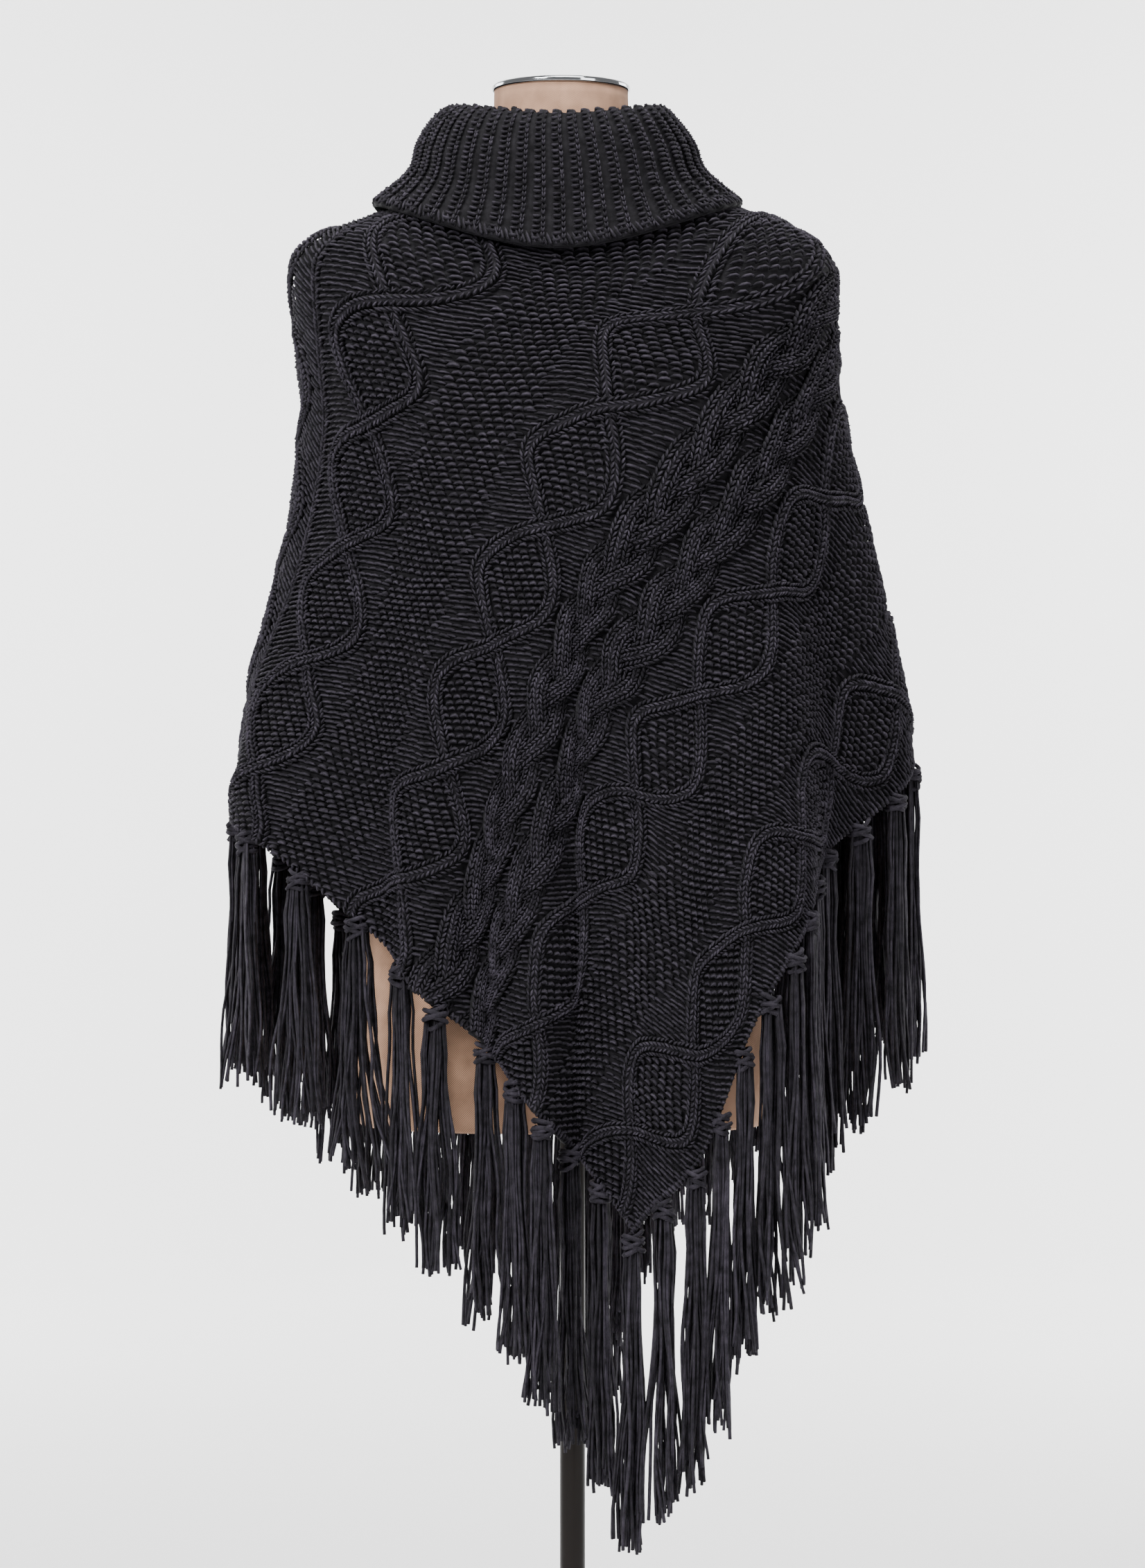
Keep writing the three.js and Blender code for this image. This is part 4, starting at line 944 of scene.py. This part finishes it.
def tassel_places():
    """Lengths along the hem, and the gap to the next, of each tassel."""
    start = 22.0
    short = (CLOTH_W - start) / (SHORT_TASSELS - 1)
    long = 2 * HALF_H / (LONG_TASSELS + 1)
    first = start + short * np.arange(SHORT_TASSELS)
    middle = CLOTH_W + long * np.arange(1, LONG_TASSELS + 1)
    last = HEM - first[::-1]
    gaps = np.concatenate([np.full(SHORT_TASSELS, short), np.full(LONG_TASSELS, long),
                           np.full(SHORT_TASSELS, short)])
    return np.concatenate([first, middle, last]), gaps


def tassel_parts(s, gap, index):
    """One tassel: a lark's head of yarn loops over the edge, and its yarns hanging down."""
    side_end = CLOTH_W + 2 * HALF_H
    corner = min(abs(s - CLOTH_W), abs(s - side_end)) < 1
    here, normal = (x[0] for x in hem_point([s]))
    before, after = hem_point([s - 10])[0][0], hem_point([s + 10])[0][0]
    around = [hem_point([s - gap])[0][0], hem_point([s + gap])[0][0]]
    tangent = unit(after - before)
    if corner:
        tangent = -unit(np.cross(normal, (0, 0, 1)))
    outward = np.array([0, 0, -1.0]) if corner else unit(np.cross(normal, tangent))
    u, v = hem_place(np.array([s]))
    inside = worn(u - 25.0 * (CLOTH_W < s < side_end),
                  v + 25.0 * (s <= CLOTH_W) - 25.0 * (s >= side_end))[0]
    if not corner and np.dot(outward, here - inside) < 0:
        outward = -outward
    flat = np.array([tangent[0], tangent[1], 0])
    level = np.linalg.norm(flat)
    room = min(np.hypot(*(p - here)[:2]) for p in around)
    share = float(np.clip(0.84 * min(room, level * gap) / 42, 0.3, 1))
    flat = flat / max(level, 1e-6)
    face = np.array([normal[0], normal[1], 0])
    face = unit(face - flat * np.dot(face, flat))
    centre = here + outward * 1.0
    length = np.interp(s, TASSEL_REACH[:, 0], TASSEL_REACH[:, 1])
    up = np.array([0, 0, 1.0])

    # hanging yarns in a few locks, puffed out under the knot, wavy lower down, with uneven ends
    one = (YARNS, 1)
    lock = np.arange(YARNS) % LOCKS
    mid = (np.linspace(-0.82, 0.82, LOCKS) + rng.normal(0, 0.09, LOCKS))[lock][:, None]
    drift = rng.uniform(0, 2 * np.pi, (LOCKS, 2))[lock][..., None]
    off = rng.uniform(-1, 1, (YARNS, 2, 1))
    t = np.append(np.linspace(0, 0.975, 14), 1.0)
    spread = smooth(t * 1.1)
    puff = 1 + 0.3 * np.exp(-((t - 0.15) / 0.08) ** 2)
    width = (9.0 + (14.0 * share + 3.0) * spread) * (0.35 + 0.65 * share) * puff
    sway = rng.normal(0, 3.4, (LOCKS, 2))[lock][..., None] * t ** 2
    curl = rng.uniform(0, 2 * np.pi, (YARNS, 4, 1))
    rate = rng.uniform(5, 12, (YARNS, 2, 1))
    px = (mid * (0.8 + 0.3 * t ** 2) + off[:, 0] * (0.36 - 0.16 * t)) * width + sway[:, 0]
    px = px + 3.0 * share * t * np.sin(7.0 * t + drift[:, 0])
    px = px + 2.7 * t ** 0.7 * np.sin(rate[:, 0] * t + curl[:, 0])
    px = px + 0.5 * np.sin(2.0 * rate[:, 1] * t + curl[:, 1]) * t
    py = off[:, 1] * (5.0 + 3.5 * spread) * puff + sway[:, 1]
    py = py + 2.0 * t * np.sin(rate[:, 1] * t + curl[:, 2])
    ends = length + rng.normal(0, 7, (LOCKS, 1))[lock] + rng.normal(0, 3.5, one) - 2
    path = centre + px[..., None] * flat + py[..., None] * face - (4 + (ends - 4) * t)[..., None] * up
    radius = np.tile(np.where(t > 0.99, 1.45, YARN_RADIUS), one) * rng.uniform(0.88, 1.14, one)
    # random tone for each yarn, with painted shade darkening the top under the knot
    tone = rng.uniform(0.25, 0.9, one) * (0.65 + 0.35 * smooth(t * 4))
    parts = [strand_arrays(path, radius, 3, tone)]

    # loops of the knot: slanted uneven turns round the head, the upper ones over the cloth's edge
    ang = np.linspace(-0.96, 0.96, 10) * np.pi
    for i in range(KNOT_LOOPS):
        w = (7.6 + 2.8 * np.sin(np.pi * (i + 0.7) / KNOT_LOOPS)) * (0.45 + 0.55 * share)
        w = w + rng.normal(0, 0.5)
        deep = 6.2 + 1.6 * np.sin(np.pi * (i + 0.5) / KNOT_LOOPS) + rng.normal(0, 0.3)
        slant = (4.2 if (i + index) % 2 else -3.4) + rng.normal(0, 1.0)
        lean = rng.normal(0, 0.8)
        lx, ly = w * np.sin(ang) + lean, deep * np.cos(ang)
        lz = 1.5 - 2.8 * i + slant * np.sin(ang + rng.normal(0, 0.3)) * 0.8 + rng.normal(0, 0.4)
        path = centre + lx[:, None] * flat + ly[:, None] * face + lz[:, None] * up
        radius = np.full((1, 10), rng.uniform(1.7, 2.05))
        parts.append(strand_arrays(path[None], radius, 5, np.full((1, 10), rng.uniform(0.35, 0.65))))
    return parts


places, gaps = tassel_places()
for label, lo, hi in (("front_left", 0, 12), ("front_right", 12, 26), ("back_right", 26, 40),
                      ("back_left", 40, 52)):
    parts = [p for i in range(lo, hi) for p in tassel_parts(places[i], gaps[i], i)]
    piece = yarn_piece(f"tassels_{label}", parts, YARN)
    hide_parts(*[f"tassel_{i + 1:02d}" for i in range(lo, hi)])

# dress form: height, side, front and back reach
FORM = np.array([
    (679, 152, 100, 100), (685, 161, 107, 107), (735, 166, 111, 112), (800, 163, 108, 112),
    (865, 149, 101, 104), (930, 128, 94, 90), (990, 118, 91, 80), (1060, 128, 98, 84),
    (1130, 150, 117, 92), (1200, 167, 134, 98), (1255, 177, 122, 101), (1300, 188, 111, 101),
    (1334, 191.5, 99, 98), (1357, 180.6, 89, 94), (1375, 152.6, 80, 88), (1389, 114, 69, 79),
    (1400, 80, 61, 69), (1416, 65, 58, 63), (1440, 55, 54, 55), (1492.4, 53, 53, 53),
], float)
FORM_SIDES = 104


def form_piece():
    """Dress form: the table's levels joined by a cubic, each a rounded plan, closed top and bottom."""
    fine = catmull(FORM.T, 5)
    a = np.arange(FORM_SIDES) * 2 * np.pi / FORM_SIDES
    z, side, front, back = (x[:, None] for x in fine)
    r = plan_reach(a, side, side, front, back, 2 + 0.25 * smooth((side - 60) / 60)) - 0.25
    rings = np.stack([CENTRE_X + r * np.sin(a), -r * np.cos(a), z + 0 * r], -1)
    arc = np.concatenate([[0], np.cumsum(np.hypot(np.diff(fine[0]), np.diff(fine[1])))])
    uv = np.stack([np.tile(a * 130, (len(arc), 1)), np.tile(arc[:, None], (1, FORM_SIDES))], -1)
    uv = np.concatenate([uv.reshape(-1, 2), [[0, 0], [0, arc[-1]]]])
    return capped_rings("torso_linen", rings, [CENTRE_X, 0, fine[0, 0]], [CENTRE_X, 0, fine[0, -1]], uv)


form = form_piece()
form.data.materials.append(LINEN)
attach(form, "root")
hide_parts("torso")


def turned(name, profile, x, material, replaced, sides=96):
    """Turned piece: a profile of reach and height carried round a vertical axis, closed on it."""
    p = np.asarray(profile, float)
    a = np.arange(sides) * 2 * np.pi / sides
    reach, height = p[1:-1, :1], np.repeat(p[1:-1, 1:], sides, 1)
    rings = np.stack([x + reach * np.cos(a), reach * np.sin(a), height], -1)
    obj = capped_rings(name, rings, [x, 0, p[0, 1]], [x, 0, p[-1, 1]])
    bevel = obj.modifiers.new("soft edges", "BEVEL")
    bevel.width = 0.0006
    bevel.segments = 2
    bevel.limit_method = "ANGLE"
    bevel.angle_limit = math.radians(35)
    bevel.harden_normals = True
    obj.data.materials.append(material)
    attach(obj, "root")
    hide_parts(replaced)
    return obj


CAP = [(0, 1492.6), (53.4, 1492.6), (54.6, 1493.6), (54.6, 1496), (53.4, 1497.2), (50, 1498), (0, 1498.6)]
POLE = [(0, 46.3), (10, 46.3), (10, 678.7), (0, 678.7)]
BASE = [(0, 0), (160, 0), (160, 9), (156, 12), (24, 17), (19, 24), (19, 46), (0, 46)]
turned("neck_cap_chrome", CAP, CENTRE_X, CHROME, "neck_cap")
turned("pole_tube", POLE, 0.0, ENAMEL, "pole", 64)
turned("base_plate", BASE, 0.0, ENAMEL, "base", 128)


# floor and backdrop in one sweep, and soft light
WALL_Y, SWEEP_R = 6.8, 1.6


def sweep():
    """Floor that curves up into a wall behind: a quarter circle between two straight runs."""
    ang = np.linspace(0, np.pi / 2, 24)[1:]
    run = np.concatenate([[-9.0, WALL_Y - SWEEP_R], WALL_Y - SWEEP_R + SWEEP_R * np.sin(ang), [WALL_Y]])
    rise = np.concatenate([[0, 0], SWEEP_R * (1 - np.cos(ang)), [8.0]])
    x = np.array([-12.0, 12.0])
    verts = np.stack([np.tile(x, (len(run), 1)), np.tile(run[:, None], (1, 2)),
                      np.tile(rise[:, None], (1, 2))], -1).reshape(-1, 3)
    j = np.arange(len(run) - 1)
    obj = add_mesh("floor", verts / MM, np.stack([2 * j, 2 * j + 1, 2 * j + 3, 2 * j + 2], -1))
    mat, tree, bsdf = new_material("pale_floor")
    bsdf.inputs["Roughness"].default_value = 0.9
    coord = node(tree, "ShaderNodeTexCoord", (-700, 0))
    cloud = node(tree, "ShaderNodeTexNoise", (-500, 0), Scale=1.5)
    tree.links.new(coord.outputs["Object"], cloud.inputs["Vector"])
    color_mix(tree, (-250, 0), (0.86, 0.86, 0.86, 1), (0.9, 0.9, 0.9, 1), cloud.outputs["Fac"],
              bsdf.inputs["Base Color"])
    obj.data.materials.append(mat)


sweep()
world = bpy.data.worlds.new("studio")
bpy.context.scene.world = world
world.use_nodes = True
world.node_tree.nodes["Background"].inputs[0].default_value = (1, 1, 1, 1)
world.node_tree.nodes["Background"].inputs[1].default_value = 0.32


def soft_light(name, place, target, size, power):
    """Square area light at a place, facing a target, in metres and watts."""
    data = bpy.data.lights.new(name, "AREA")
    data.size = size
    data.energy = power
    obj = bpy.data.objects.new(name, data)
    obj.location = place
    obj.rotation_euler = (Vector(target) - Vector(place)).to_track_quat("-Z", "Y").to_euler()
    bpy.context.scene.collection.objects.link(obj)


soft_light("key", (-1.7, -2.5, 2.7), (0, 0, 1.05), 1.1, 190)
soft_light("fill", (2.4, -2.4, 1.6), (0, 0, 1.0), 1.4, 45)
soft_light("top", (0.2, -0.5, 3.3), (0, 0, 1.2), 1.2, 90)
soft_light("back_left", (-2.8, 2.0, 1.9), (0, 0, 1.0), 1.5, 60)
soft_light("back_right", (2.8, 2.0, 1.9), (0, 0, 1.0), 1.5, 60)
soft_light("backdrop_left", (-3.0, WALL_Y - 2.9, 2.4), (0.3, WALL_Y, 0.2), 2.2, 335)
soft_light("backdrop_right", (3.0, WALL_Y - 2.9, 2.4), (-0.3, WALL_Y, 0.2), 2.2, 365)
